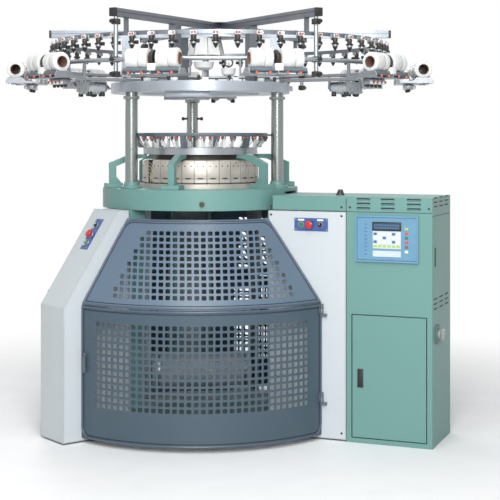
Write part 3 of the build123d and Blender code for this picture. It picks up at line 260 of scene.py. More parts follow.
@cache
def turning_group():
    """Coordinates that run round the machine's axis, so that marks follow the turning."""
    nodes, given, out = new_tree(
        "Turning marks", "ShaderNodeTree", [("Vector", VECTOR)], [("Vector", VECTOR)])
    x, y, z = nodes.split(given["Vector"])
    radius = nodes.add("ShaderNodeVectorMath", {0: nodes.join(x, y)}, operation="LENGTH").outputs["Value"]
    nodes.link(nodes.join(radius, nodes.times(nodes.calc("ARCTAN2", y, x), 0.02), z), out["Vector"])
    return nodes.tree


@cache
def height_shade_group():
    """Mask that rises with height between two levels, for shade painted darker towards the bottom."""
    nodes, given, out = new_tree(
        "Painted shade by height", "ShaderNodeTree", [("Vector", VECTOR), ("Low", FLOAT, 0.0), ("High", FLOAT, 1.0)],
        [("Mask", FLOAT)])
    height = nodes.split(given["Vector"])[2]
    nodes.link(nodes.ramp(height, given["Low"], given["High"], kind="SMOOTHSTEP"), out["Mask"])
    return nodes.tree


def surface(name, base, tint, rough, patch, scale, fine=260.0, bump=0.05, depth=0.0005, metal=0.0, coat=0.0,
            lint=0.0, turned=False, stretch=None, fade=None, sheen=0.0, glow=0.0, soft=0.0):
    """Procedural material of one finish, from card colours or from a colour of the panel."""
    base, tint = (tuple(colour) if len(colour) == 4 else tone(*colour) for colour in (base, tint))
    material = bpy.data.materials.new(name)
    material.use_nodes = True
    nodes = Nodes(material.node_tree)
    vector = nodes.add("ShaderNodeTexCoord").outputs["Object"]
    follow = nodes.group(turning_group, {"Vector": vector})["Vector"] if turned else vector
    if stretch:
        follow = nodes.add("ShaderNodeMapping", {"Vector": follow, "Scale": stretch}).outputs[0]
    grain = nodes.group(grain_group, {
        "Vector": follow, "Base": base, "Tint": tint, "Patch scale": scale, "Patch amount": patch,
        "Fine scale": fine, "Rough low": rough[0], "Rough high": rough[1]})
    colour = grain["Color"]
    # Painted shade: the colour darkens towards the bottom, between two heights.
    if fade:
        low, high, shade = fade
        mask = nodes.group(height_shade_group, {"Vector": vector, "Low": low, "High": high})["Mask"]
        colour = nodes.blend(mask, tone(*shade), colour)
    if lint:
        mask = nodes.group(lint_group, {"Vector": vector, "Amount": lint})["Mask"]
        colour = nodes.blend(mask, colour, tone(222, 224, 220))
    relief = {"Height": grain["Height"], "Strength": bump, "Distance": depth}
    if soft:
        relief["Normal"] = nodes.add("ShaderNodeBevel", {"Radius": soft}, samples=4).outputs[0]
    normal = nodes.add("ShaderNodeBump", relief).outputs[0]
    shader = nodes.add("ShaderNodeBsdfPrincipled", {
        "Base Color": colour, "Roughness": grain["Roughness"], "Metallic": metal, "Coat Weight": coat,
        "Coat Roughness": 0.12, "Sheen Weight": sheen, "Normal": normal})
    if glow:
        nodes.link(colour, shader.inputs["Emission Color"])
        shader.inputs["Emission Strength"].default_value = glow
    nodes.add("ShaderNodeOutputMaterial", {"Surface": shader.outputs[0]})
    return material


FINISHES = {}


def make_finishes(paint):
    """Every finish of the machine, with its paints from the colours in the panel."""
    FINISHES.update({
        "mint": surface("Mint paint", paint.mint, (102, 144, 140), (0.38, 0.52), 0.3, 2.0, 420.0, 0.1,
                        lint=0.2, soft=0.006),
        "white": surface("White paint", paint.white, (184, 191, 196), (0.4, 0.54), 0.35, 1.6, 420.0, 0.1,
                         lint=0.1, soft=0.011),
        # The upper guards and the gate carry one paint; these are lit and shaded copies of it: the upper
        # guards' colour is lighter as painted light on the upward-facing cone, the gate's darker as painted
        # shade.
        "guard": surface("Upper guard paint", paint.guard, (80, 98, 116), (0.34, 0.42), 0.25, 1.5, 420.0,
                         0.06),
        # The gate's fade is painted shade: its colour is darker towards the bottom.
        "gate": surface("Gate paint", paint.gate, (54, 70, 84), (0.34, 0.44), 0.3, 2.5, 420.0, 0.1,
                        fade=(0.05, 0.75, (64, 82, 94))),
        "bead": surface("Guard rail paint", (72, 88, 104), (58, 74, 90), (0.26, 0.38), 0.4, 4.0, coat=0.3),
        "seal": surface("Rubber seal", (26, 33, 46), (18, 24, 36), (0.5, 0.7), 0.5, 30.0),
        "motor": surface("Motor paint", (96, 118, 116), (78, 96, 96), (0.4, 0.55), 0.5, 8.0, 300.0, 0.2,
                         lint=0.3),
        "fitting": surface("Grey fittings", (104, 114, 122), (80, 88, 96), (0.34, 0.5), 0.5, 20.0,
                           metal=0.4),
        "lever": surface("Grey switch lever", (138, 148, 146), (120, 130, 128), (0.3, 0.45), 0.4, 40.0,
                         coat=0.2),
        "base": surface("Grey switch base", (94, 110, 110), (78, 94, 94), (0.4, 0.55), 0.4, 40.0),
        "cast": surface("Cast iron paint", (96, 112, 112), (74, 86, 88), (0.5, 0.7), 0.6, 6.0, 150.0, 0.35,
                        0.001, lint=0.4),
        "machined": surface("Turned steel", (150, 153, 156), (104, 107, 110), (0.24, 0.42), 0.4, 40.0,
                            300.0, 0.12, metal=1.0, turned=True),
        "cam": surface("Cam box steel", (196, 190, 182), (162, 154, 146), (0.34, 0.5), 0.5, 14.0, 420.0,
                       0.12, metal=0.45),
        "polished": surface("Polished steel", (140, 146, 144), (124, 130, 128), (0.2, 0.26), 0.3, 2.0,
                            300.0, 0.02, metal=0.85),
        "alloy": surface("Bright alloy", (158, 163, 168), (122, 128, 134), (0.28, 0.42), 0.4, 10.0, 500.0,
                         0.1, metal=0.75, stretch=(1, 1, 0.15)),
        "beam": surface("Slotted beam alloy", (128, 134, 140), (104, 110, 118), (0.3, 0.45), 0.4, 10.0,
                        500.0, 0.1, metal=0.85),
        "brass": surface("Worn brass tracks", (178, 164, 128), (138, 124, 92), (0.3, 0.45), 0.5, 30.0,
                         metal=0.6),
        "pink": surface("Pink eyelets", (148, 92, 94), (120, 68, 72), (0.2, 0.3), 0.4, 60.0, coat=0.4),
        "eyelet": surface("Pale eyelets", (226, 212, 210), (204, 184, 184), (0.2, 0.3), 0.4, 60.0,
                          coat=0.3),
        "plate": surface("Ground alloy plate", (184, 190, 198), (160, 168, 180), (0.3, 0.42), 0.45, 5.0,
                         300.0, 0.1, metal=0.5, turned=True),
        "roller": surface("Grey roller covering", (172, 178, 182), (140, 148, 154), (0.5, 0.68), 0.5, 8.0,
                          500.0, 0.4, 0.001),
        "black": surface("Black plastic", (22, 23, 25), (34, 36, 38), (0.4, 0.55), 0.5, 30.0, 700.0, 0.15),
        "ivory": surface("White plastic", (232, 234, 232), (212, 214, 210), (0.28, 0.4), 0.5, 30.0, 700.0,
                         0.08, coat=0.2),
        "red": surface("Red plastic", (196, 30, 34), (150, 18, 24), (0.24, 0.36), 0.4, 40.0, coat=0.4),
        "start": surface("Green push button", (40, 120, 86), (28, 96, 66), (0.24, 0.36), 0.4, 40.0,
                         coat=0.4),
        "blue": surface("Blue station plate", (58, 90, 148), (44, 72, 126), (0.3, 0.44), 0.4, 20.0, 500.0,
                        0.1, coat=0.2),
        "panel": surface("Panel foil", (100, 146, 174), (90, 134, 162), (0.3, 0.4), 0.4, 18.0, 600.0, 0.06,
                         coat=0.3),
        "key": surface("Membrane keys", (226, 232, 232), (206, 214, 216), (0.35, 0.45), 0.4, 60.0,
                       coat=0.1),
        "label": surface("Pale foil", (196, 208, 218), (182, 196, 208), (0.35, 0.45), 0.4, 60.0),
        "keyblue": surface("Blue membrane keys", (70, 104, 150), (58, 90, 134), (0.35, 0.45), 0.4, 60.0),
        "keygreen": surface("Yellow green keys", (176, 196, 96), (150, 176, 80), (0.35, 0.45), 0.4, 60.0),
        "screen": surface("Display glass", (42, 58, 66), (52, 72, 70), (0.08, 0.14), 0.5, 26.0, 300.0,
                          0.02, coat=0.6),
        "lamp": surface("Small red lamps", (214, 70, 60), (180, 50, 44), (0.2, 0.3), 0.4, 40.0, glow=0.2),
        "yarn": surface("Wound elastane", (214, 216, 214), (196, 198, 194), (0.55, 0.75), 0.5, 30.0, 90.0,
                        0.5, 0.0012, sheen=0.4),
        "card": surface("Card tube", (124, 92, 80), (102, 74, 64), (0.6, 0.8), 0.5, 60.0, 300.0, 0.3),
        "ceramic": surface("Ceramic eyelets", (206, 96, 72), (184, 78, 58), (0.12, 0.2), 0.4, 60.0,
                           coat=0.6),
        "belt": surface("Belt rubber", (32, 32, 34), (48, 46, 46), (0.6, 0.8), 0.5, 30.0, 300.0, 0.3),
        "inside": surface("Electrics", (140, 146, 142), (96, 106, 100), (0.4, 0.6), 0.6, 20.0),
        # Dark joints in the seams, and painted shade in slots, under the louvre hoods, in screw slots and
        # behind the cam boxes.
        "gap": surface("Dark seams and painted shade", (20, 24, 26), (32, 36, 38), (0.6, 0.8), 0.5, 30.0),
        "bronze": surface("Dark fittings", (70, 66, 60), (52, 50, 48), (0.4, 0.6), 0.5, 30.0, metal=0.5),
    })


NODE_FINISH = {node: finish for finish, names in {
    "alloy": "levelling_feet takedown_frame feeder_ring creel_rail feeder_heads package_trays stop_motions "
             "creel_drives",
    "beam": "creel_posts head_ring creel_beams",
    "belt": "drive_belt",
    "black": "lock_paddle main_switch selector_right selector_left beam_end_caps",
    "blue": "station_plates",
    # The needle cylinder takes the dark fittings finish as painted shade: it darkens the band between the
    # feeder ring and the cam boxes.
    "bronze": "oil_caps needle_cylinder",
    "cam": "cam_base_ring cam_boxes",
    "cast": "base_frame",
    # The drive shaft takes the grey fittings finish rather than bright alloy: painted shade for its place
    # inside the machine.
    "fitting": "drive_shaft guide_ring gate_hinges gate_latch",
    "gate": "rear_lower_guards front_gate",
    "guard": "front_upper_guard rear_upper_guards",
    "inside": "electrics_plate",
    "ivory": "yarn_guides creel_hub",
    "machined": "cylinder_bearing main_gear motor_pulley",
    "mint": "leg_posts bed ring_support_arms beam_cover cabinet_shell cabinet_door",
    "motor": "motor",
    "panel": "panel_frame control_keypad",
    "plate": "top_plate",
    "polished": "columns",
    "red": "stop_button_right stop_button_left",
    "roller": "takedown_roller_front takedown_roller_rear cloth_roller",
    "start": "start_button_right start_button_left",
    "white": "left_leg_cover rear_leg_cover right_leg_cover",
    "yarn": "elastane_packages",
}.items() for node in names.split()}


class Form:
    """Closed shapes gathered in one mesh, each with the number of its finish."""

    def __init__(self):
        self.mesh = bmesh.new()

    def skin(self, rings, place, finish, loop=False, edge=0.0, steps=1):
        """Walls between rings of points, where one point is a pole, closed by ends or as a loop."""
        piece = bmesh.new()
        rings = [[piece.verts.new(point) for point in ring] for ring in rings]
        count = max(len(ring) for ring in rings)
        for low, high in zip(rings, rings[1:] + rings[:1] if loop else rings[1:]):
            for i in range(count):
                j = (i + 1) % count
                corners = (low[i % len(low)], low[j % len(low)], high[j % len(high)], high[i % len(high)])
                corners = list(dict.fromkeys(corners))
                if len(corners) > 2:
                    piece.faces.new(corners)
        for ring in () if loop else (rings[0][::-1], rings[-1]):
            if len(ring) > 1:
                piece.faces.new(ring)
        if edge:
            bmesh.ops.bevel(piece, geom=piece.edges[:], offset=edge, segments=steps, affect="EDGES",
                            profile=0.5)
        bmesh.ops.recalc_face_normals(piece, faces=piece.faces[:])
        piece.verts.index_update()
        copied = [self.mesh.verts.new(place @ vert.co) for vert in piece.verts]
        for face in piece.faces:
            self.mesh.faces.new([copied[vert.index] for vert in face.verts]).material_index = finish
        piece.free()

    def prism(self, outline, depth, place, finish=0, edge=0.0, steps=1):
        """Outline in x and y, pushed along z from 0 to its depth."""
        self.skin([[(x, y, z) for x, y in outline] for z in (0, depth)], place, finish, False, edge, steps)

    def block(self, size, place, finish=0, edge=0.0, steps=1):
        """Block centred on its place in x and y, standing on it in z."""
        x, y, depth = size
        corners = [(-x / 2, -y / 2), (x / 2, -y / 2), (x / 2, y / 2), (-x / 2, y / 2)]
        self.prism(corners, depth, place, finish, edge, steps)

    def turned(self, profile, place=HOME, finish=0, sides=32, loop=False):
        """Profile of radius and height turned round z; a loop closes on itself, as in a ring."""
        turns = [2 * math.pi * i / sides for i in range(sides)]
        rings = []
        for radius, height in profile:
            around = turns if radius else turns[:1]
            rings.append([(radius * math.cos(t), radius * math.sin(t), height) for t in around])
        self.skin(rings, place, finish, loop)

    def rod(self, start, end, radius, finish=0, sides=12):
        """Round bar between two points."""
        start, line = Vector(start), Vector(end) - Vector(start)
        place = placed(start, line.orthogonal(), line)
        self.turned([(radius, 0), (radius, line.length)], place, finish, sides)

    def sector(self, profile, start, end, finish=0):
        """Profile of radius and height swept in four steps round the machine's axis between two angles."""
        outs = [heading(start + (end - start) * i / 4) for i in range(5)]
        self.skin([[out * radius + UP * z for radius, z in profile] for out in outs], HOME, finish)

    def data(self, name):
        """The gathered mesh, with each face's finish number kept as an attribute."""
        mesh = bpy.data.meshes.new(name)
        self.mesh.to_mesh(mesh)
        self.mesh.free()
        numbers = mesh.attributes.new("finish", "INT", "FACE")
        numbers.data.foreach_set("value", [face.material_index for face in mesh.polygons])
        return mesh

    def settle(self, name, finishes, body, slot, *stands_for):
        """Settles the form as one piece."""
        return settle(name, self.data(name), finishes, body, stands_for)


def settle(name, mesh, finishes, body, stands_for=(), smooth=38):
    """Turns a mesh in millimetres into a finished piece that rides on its body."""
    mesh.transform(Matrix.Scale(MM, 4))
    mesh.name = name
    for finish in finishes:
        mesh.materials.append(FINISHES[finish])
    for spare in ("finish", "turn"):
        if spare in mesh.attributes:
            mesh.attributes.remove(mesh.attributes[spare])
    mesh.shade_smooth()
    mesh.set_sharp_from_angle(angle=math.radians(smooth))
    piece = linked(name, mesh)
    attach(piece, body)
    if stands_for:
        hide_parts(*stands_for)
    return piece


RING_SIZES = ("Count", "Radius", "Height", "First angle")


@cache
def copies_tree(count, ring):
    """Copies of a piece at marked points, or evenly round a ring, with a number of finishes."""
    sizes = zip(RING_SIZES, (WHOLE, FLOAT, FLOAT, FLOAT), (12, 100.0, 0.0, 0.0)) if ring else ()
    nodes, given, out = new_tree(
        "Ring of copies" if ring else "Copies at marks", "GeometryNodeTree",
        [("Geometry", SHAPE), ("Piece", THING), *sizes, *((f"Finish {i + 1}", FINISH) for i in range(count))],
        [("Geometry", SHAPE)])
    if ring:
        step = nodes.calc("DIVIDE", 2 * math.pi, given["Count"])
        number = nodes.add("GeometryNodeInputIndex").outputs[0]
        turn = nodes.calc("MULTIPLY_ADD", number, step, given["First angle"])
        x, y = (nodes.times(nodes.calc(side, turn), given["Radius"]) for side in ("COSINE", "SINE"))
        where = nodes.join(x, y, given["Height"])
        points = nodes.add("GeometryNodePoints", {"Count": given["Count"], "Position": where}).outputs[0]
        aim = nodes.join(z=turn)
    else:
        points = given["Geometry"]
        aim = nodes.attribute("turn", "FLOAT_VECTOR")
    rotation = nodes.add("FunctionNodeEulerToRotation", {0: aim}).outputs[0]
    feeds = {"Points": points, "Instance": nodes.instance(given["Piece"]), "Rotation": rotation}
    stood = nodes.add("GeometryNodeInstanceOnPoints", feeds).outputs[0]
    shape = nodes.add("GeometryNodeRealizeInstances", {"Geometry": stood}).outputs[0]
    for i in range(count):
        feeds = {2: nodes.attribute("finish", "INT"), 3: i}
        chosen = nodes.add("FunctionNodeCompare", feeds, data_type="INT", operation="EQUAL").outputs[0]
        feeds = {"Geometry": shape, "Selection": chosen, "Material": given[f"Finish {i + 1}"]}
        shape = nodes.add("GeometryNodeSetMaterial", feeds).outputs[0]
    nodes.link(shape, out[0])
    return nodes.tree


def grow(tree, values, mesh=None):
    """Runs a geometry tree once and returns its result as a plain mesh."""
    host = linked("host", mesh or bpy.data.meshes.new("host"))
    modifier = host.modifiers.new("Geometry", "NODES")
    modifier.node_group = tree
    for item in tree.interface.items_tree:
        if item.in_out == "INPUT" and item.name in values:
            modifier[item.identifier] = values[item.name]
    graph = bpy.context.evaluated_depsgraph_get()
    made = bpy.data.meshes.new_from_object(host.evaluated_get(graph))
    host.modifiers.remove(modifier)
    bpy.data.objects.remove(host)
    if not made.polygons:
        raise RuntimeError(f"the tree {tree.name} made no faces")
    return made


def copies(name, form, finishes, body, stands_for=(), places=None, ring=None):
    """Settles copies of a form at places, or round a ring: its count, radius, height and angle in radians."""
    source = linked("copied", form.data("copied"))
    values = {"Piece": source}
    values.update({f"Finish {i + 1}": FINISHES[finish] for i, finish in enumerate(finishes)})
    marks = None
    if ring:
        values.update(zip(RING_SIZES, ring))
    else:
        marks = bpy.data.meshes.new("marks")
        marks.from_pydata([place.translation for place in places], [], [])
        turns = marks.attributes.new("turn", "FLOAT_VECTOR", "POINT")
        turns.data.foreach_set("vector", [angle for place in places for angle in place.to_euler()])
    mesh = grow(copies_tree(len(finishes), bool(ring)), values, marks)
    bpy.data.objects.remove(source)
    return settle(name, mesh, (), body, stands_for)


@cache
def rail_tree():
    """Round rail along the edges of a line."""
    nodes, given, out = new_tree(
        "Rail along a line", "GeometryNodeTree",
        [("Geometry", SHAPE), ("Radius", FLOAT, 5.0), ("Sides", WHOLE, 8), ("Finish", FINISH)],
        [("Geometry", SHAPE)])
    line = nodes.add("GeometryNodeMeshToCurve", {"Mesh": given["Geometry"]}).outputs[0]
    feeds = {"Resolution": given["Sides"], "Radius": given["Radius"]}
    section = nodes.add("GeometryNodeCurvePrimitiveCircle", feeds).outputs[0]
    feeds = {"Curve": line, "Profile Curve": section, "Fill Caps": True}
    tube = nodes.add("GeometryNodeCurveToMesh", feeds).outputs[0]
    real = nodes.add("GeometryNodeRealizeInstances", {"Geometry": tube}).outputs[0]
    painted = nodes.add("GeometryNodeSetMaterial", {"Geometry": real, "Material": given["Finish"]})
    nodes.link(painted.outputs[0], out[0])
    return nodes.tree


def rails(name, lines, radius, finish, body, sides=8):
    """Settles round rails along lines; a line that ends where it starts is closed."""
    verts, edges = [], []
    for line in lines:
        closed = (line[0] - line[-1]).length < 0.01
        points = line[:-1] if closed else line
        first = len(verts)
        verts += points
        edges += [(first + i, first + i + 1) for i in range(len(points) - 1)]
        if closed:
            edges.append((len(verts) - 1, first))
    mesh = bpy.data.meshes.new("lines")
    mesh.from_pydata(verts, edges, [])
    made = grow(rail_tree(), {"Radius": radius, "Sides": sides, "Finish": FINISHES[finish]}, mesh)
    return settle(name, made, (), body, smooth=60)


@cache
def perforated_tree():
    """Perforated sheet: open and plain cells on a grid, bent onto a cylinder or a cone."""
    nodes, given, out = new_tree(
        "Perforated sheet", "GeometryNodeTree",
        [("Geometry", SHAPE), ("Open cell", THING), ("Plain cell", THING), ("Columns", WHOLE, 10),
         ("Rows", WHOLE, 10), ("Pitch across", FLOAT, 36.0), ("Pitch up", FLOAT, 36.0),
         ("First row", WHOLE, 3), ("Last row", WHOLE, 12), ("Half width low", FLOAT, 500.0),
         ("Half width high", FLOAT, 300.0),
         ("Radius", FLOAT, 840.0), ("Height", FLOAT, 0.0), ("Lean", FLOAT, 0.0), ("Middle", FLOAT, 0.0),
         ("Finish", FINISH)],
        [("Geometry", SHAPE)])
    calc, times = nodes.calc, nodes.times

    def position():
        return nodes.split(nodes.add("GeometryNodeInputPosition").outputs[0])

    wide = times(calc("SUBTRACT", given["Columns"], 1.0), given["Pitch across"])
    tall = times(calc("SUBTRACT", given["Rows"], 1.0), given["Pitch up"])
    grid = nodes.add("GeometryNodeMeshGrid", {
        "Size X": wide, "Size Y": tall, "Vertices X": given["Columns"], "Vertices Y": given["Rows"]})
    spots = nodes.add("GeometryNodeMeshToPoints", {"Mesh": grid.outputs[0]}).outputs[0]
    here = position()
    rise = calc("MULTIPLY_ADD", tall, 0.5, here[1])
    low, high = (times(given[row], given["Pitch up"]) for row in ("First row", "Last row"))
    limit = nodes.ramp(rise, low, high, given["Half width low"], given["Half width high"])
    inside = calc("LESS_THAN", calc("ABSOLUTE", here[0]), limit)
    above = calc("GREATER_THAN", rise, calc("SUBTRACT", low, 1.0))
    below = calc("LESS_THAN", rise, calc("ADD", high, 1.0))
    is_open = times(times(inside, above), below)
    size = nodes.join(given["Pitch across"], given["Pitch up"], 1.0)
    both = nodes.add("GeometryNodeJoinGeometry")
    for cell, chosen in (("Plain cell", calc("SUBTRACT", 1.0, is_open)), ("Open cell", is_open)):
        feeds = {"Points": spots, "Selection": chosen, "Instance": nodes.instance(given[cell]), "Scale": size}
        nodes.link(nodes.add("GeometryNodeInstanceOnPoints", feeds).outputs[0], both.inputs[0])
    real = nodes.add("GeometryNodeRealizeInstances", {"Geometry": both.outputs[0]}).outputs[0]
    joined = nodes.add("GeometryNodeMergeByDistance", {"Geometry": real, "Distance": 0.2}).outputs[0]
    flat = position()
    up = calc("MULTIPLY_ADD", tall, 0.5, flat[1])
    radius = calc("SUBTRACT", given["Radius"], times(up, calc("SINE", given["Lean"])))
    turn = calc("ADD", calc("DIVIDE", flat[0], radius), given["Middle"])
    x, y = (times(calc(side, turn), radius) for side in ("COSINE", "SINE"))
    bent = nodes.join(x, y, calc("MULTIPLY_ADD", up, calc("COSINE", given["Lean"]), given["Height"]))
    shape = nodes.add("GeometryNodeSetPosition", {"Geometry": joined, "Position": bent}).outputs[0]
    painted = nodes.add("GeometryNodeSetMaterial", {"Geometry": shape, "Material": given["Finish"]})
    nodes.link(painted.outputs[0], out[0])
    return nodes.tree


def cell_object(share):
    """One square cell, 1 by 1, plain or with a rounded square hole of a share of its side."""
    def ring(*corner):
        points = []
        for cos, sin in QUARTERS:
            points += [(x * cos - y * sin, x * sin + y * cos, 0) for x, y in corner]
        return points

    mesh = bpy.data.meshes.new("cell")
    rim = ring((-0.5, -0.5), (-0.17, -0.5), (0.17, -0.5))
    if share:
        half = share / 2
        hole = ring((-half * 0.9, -half * 0.9), (-half * 0.45, -half), (half * 0.45, -half))
        faces = [(i, (i + 1) % 12, 12 + (i + 1) % 12, 12 + i) for i in range(12)]
        mesh.from_pydata(rim + hole, [], faces)
    else:
        mesh.from_pydata(rim, [], [tuple(range(12))])
    return linked("cell", mesh)


def guard_radius(z):
    """Radius of the guards' outer face at a height."""
    return GUARD_RADIUS - max(z - CONE_FOOT, 0) * CONE_RUN / CONE_RISE


def guard_angle(side, z, share, inset=0.0):
    """Angle across a guard at a height, from 0 at its first side to 1 at its last."""
    start, near, end, far = GUARD_SIDES[side]
    radius = guard_radius(z)
    first = start + math.degrees(math.asin((near + inset) / radius))
    last = end - math.degrees(math.asin((far + inset) / radius))
    return first + (last - first) * share


def guard_outline(side, low, high, inset, proud, corner_low, corner_high):
    """Closed line on a guard, a distance in from its edges, with rounded corners."""
    low, high = low + inset, high - inset
    lean = CONE_LEAN if low > CONE_FOOT else 0.0
    wide, tall, margin = 500.0, (high - low) / math.cos(lean), 70
    path = []
    for x, y, size, turn in ((1, 0, corner_low, 270), (1, 1, corner_high, 0), (0, 1, corner_high, 90),
                             (0, 0, corner_low, 180)):
        size = max(size - inset, 2.0)
        middle = Vector((x * wide + (-size if x else size), y * tall + (-size if y else size), 0))
        path += [middle + heading(turn + a) * size for a in range(0, 91, 15)]
    line = []
    for start, end in zip(path, path[1:] + path[:1]):
        steps = max(1, int(math.hypot((end.x - start.x) * 2, end.y - start.y) / 30))
        for i in range(steps):
            x, y, _ = start + (end - start) * i / steps
            z = low + y * math.cos(lean)
            first, last = (guard_angle(side, z, edge, inset) for edge in (0, 1))
            arc = guard_radius(z) * math.radians(last - first)
            share = x / arc if x < wide / 2 else 1 - (wide - x) / arc
            if margin < x < wide - margin:
                share = margin / arc + (x - margin) / (wide - 2 * margin) * (1 - 2 * margin / arc)
            out = heading(guard_angle(side, z, share, inset))
            line.append(out * (guard_radius(z) + proud * math.cos(lean)) + UP * (z + proud * math.sin(lean)))
    line.append(line[0].copy())
    return line


def guard_sheet(name, sides, low, high, body, stands_for, middle, rows, pitch, widths, hole, finish):
    """Perforated guard between its legs, cut to its outline and given its thickness."""
    cells = cell_object(hole), cell_object(0)
    whole = bpy.data.meshes.new(name)
    together = bmesh.new()
    across, up = pitch
    first_z, count = rows
    lean = CONE_LEAN if low >= CONE_FOOT else 0.0
    step = up * math.cos(lean)
    below = math.ceil((first_z - low) / step) + 1
    above = math.ceil((high - first_z) / step) - count + 3
    start_z = first_z - below * step
    start_radius = GUARD_RADIUS - (start_z - CONE_FOOT) * math.tan(lean)
    for side in sides:
        start, near, end, far = GUARD_SIDES[side]
        turned = middle if side == "front" else (start + end) / 2
        sheet = grow(perforated_tree(), {
            "Open cell": cells[0], "Plain cell": cells[1], "Columns": 2 * math.ceil(900 / across) + 1,
            "Rows": below + count + above, "Pitch across": across, "Pitch up": up, "First row": below,
            "Last row": below + count - 1, "Half width low": widths[0], "Half width high": widths[1],
            "Radius": start_radius, "Height": start_z, "Lean": lean, "Middle": math.radians(turned),
            "Finish": FINISHES[finish]})
        piece = bmesh.new()
        piece.from_mesh(sheet)
        for point, away in ((heading(start + 90) * near, -heading(start + 90)),
                            (heading(end - 90) * far, -heading(end - 90)), (UP * low, -UP), (UP * high, UP)):
            bmesh.ops.bisect_plane(piece, geom=piece.verts[:] + piece.edges[:] + piece.faces[:], dist=0.05,
                                   plane_co=point, plane_no=away, clear_outer=True)
        half_way = heading((start + end) / 2)
        spare = [v for v in piece.verts if v.co.dot(half_way) < 0]
        bmesh.ops.delete(piece, geom=spare, context="VERTS")
        bmesh.ops.recalc_face_normals(piece, faces=piece.faces[:])
        outward = sum(face.normal.dot(face.calc_center_median().normalized()) > 0 for face in piece.faces)
        if outward < len(piece.faces) / 2:
            bmesh.ops.reverse_faces(piece, faces=piece.faces[:])
        bmesh.ops.solidify(piece, geom=piece.faces[:], thickness=2.0)
        piece.to_mesh(whole)
        piece.free()
        together.from_mesh(whole)
        bpy.data.meshes.remove(sheet)
    together.to_mesh(whole)
    together.free()
    for cell in cells:
        bpy.data.objects.remove(cell)
    return settle(name, whole, (finish,), body, stands_for, 30)


def build_guards(sizes):
    """Perforated guards with their rails and seals."""
    lower = dict(low=GUARD_LOW, high=GATE_TOP, rows=(206, 13), pitch=(35.5, 33.9), finish="gate")
    upper = dict(low=CONE_FOOT, high=GUARD_HIGH, rows=(759, 11), pitch=(36.0, 36.0), finish="guard")
    guards = (("gate_sheet", ("front",), "gate", "front_gate", 264.9, (577, 577), lower),
              ("upper_guard_sheet", ("front",), "frame", "front_upper_guard", 265.2, (500, 312), upper),
              ("rear_lower_sheets", ("right", "left"), "frame", "rear_lower_guards", 0, (600, 600), lower),
              ("rear_upper_sheets", ("right", "left"), "frame", "rear_upper_guards", 0, (520, 330), upper))
    for name, sides, body, node, middle, widths, kind in guards:
        guard_sheet(name, sides, body=body, stands_for=(node,), middle=middle, widths=widths,
                    hole=sizes.hole_share, **kind)
    bead = sizes.bead * 1000
    for name, sides, body, *_, kind in guards:
        corners = (60, 12) if kind is lower else (12, 60)
        for trim, finish, inset, proud, radius, facets in (
                ("rail", "bead", bead + 1, 0.0, bead, 8), ("seal", "seal", 3 * bead + 2, -0.5, 2.6, 6)):
            lines = [guard_outline(side, kind["low"], kind["high"], inset, proud, *corners) for side in sides]
            rails(name.replace("sheet", trim), lines, radius, finish, body, facets)


def build_gate_fittings():
    """Hinge knuckles and the turning latch of the front gate."""
    knuckles = Form()
    for z in (195, 648):
        here = placed(spot(RIGHT_LEG, 802.8, z, 277), heading(RIGHT_LEG), UP)
        ring = [(4.2, 0), (8, 0), (9, 1), (9, 24), (8.4, 25), (9, 26), (9, 49), (8, 50), (4.2, 50)]
        knuckles.turned(ring, here, 0, 24, True)
        knuckles.block((18, 14, 44), here @ at(-15, 0, 3), 0, 1.0)
    knuckles.settle("gate_knuckles", ("fitting",), "gate", "guard_grey")
    latch = Form()
    here = facing(spot(220.12, GUARD_RADIUS + 0.6, 410), heading(220.12))
    pivot = here @ at(40, 0, 0)
    latch.turned([(0, 0), (8.6, 0), (9.4, 1.5), (9.4, 7), (8.4, 9), (0, 9)], pivot, 0, 28)
    edge = [(-50, -6), (-46, -10), (-30, -11), (10, -8), (36, -9), (46, -8), (50, -3)]
    latch.prism(edge + [(x, -y) for x, y in reversed(edge)], 8, here @ at(0, 0, 8), 0, 2.0, 2)
    latch.turned([(5, 0), (5, 2), (3, 2), (3, 1), (0, 1)], pivot @ at(0, 0, 15.5), 1, 12)
    latch.settle("latch_handle", ("fitting", "bronze"), "gate_latch", "bright_alloy", "gate_latch")


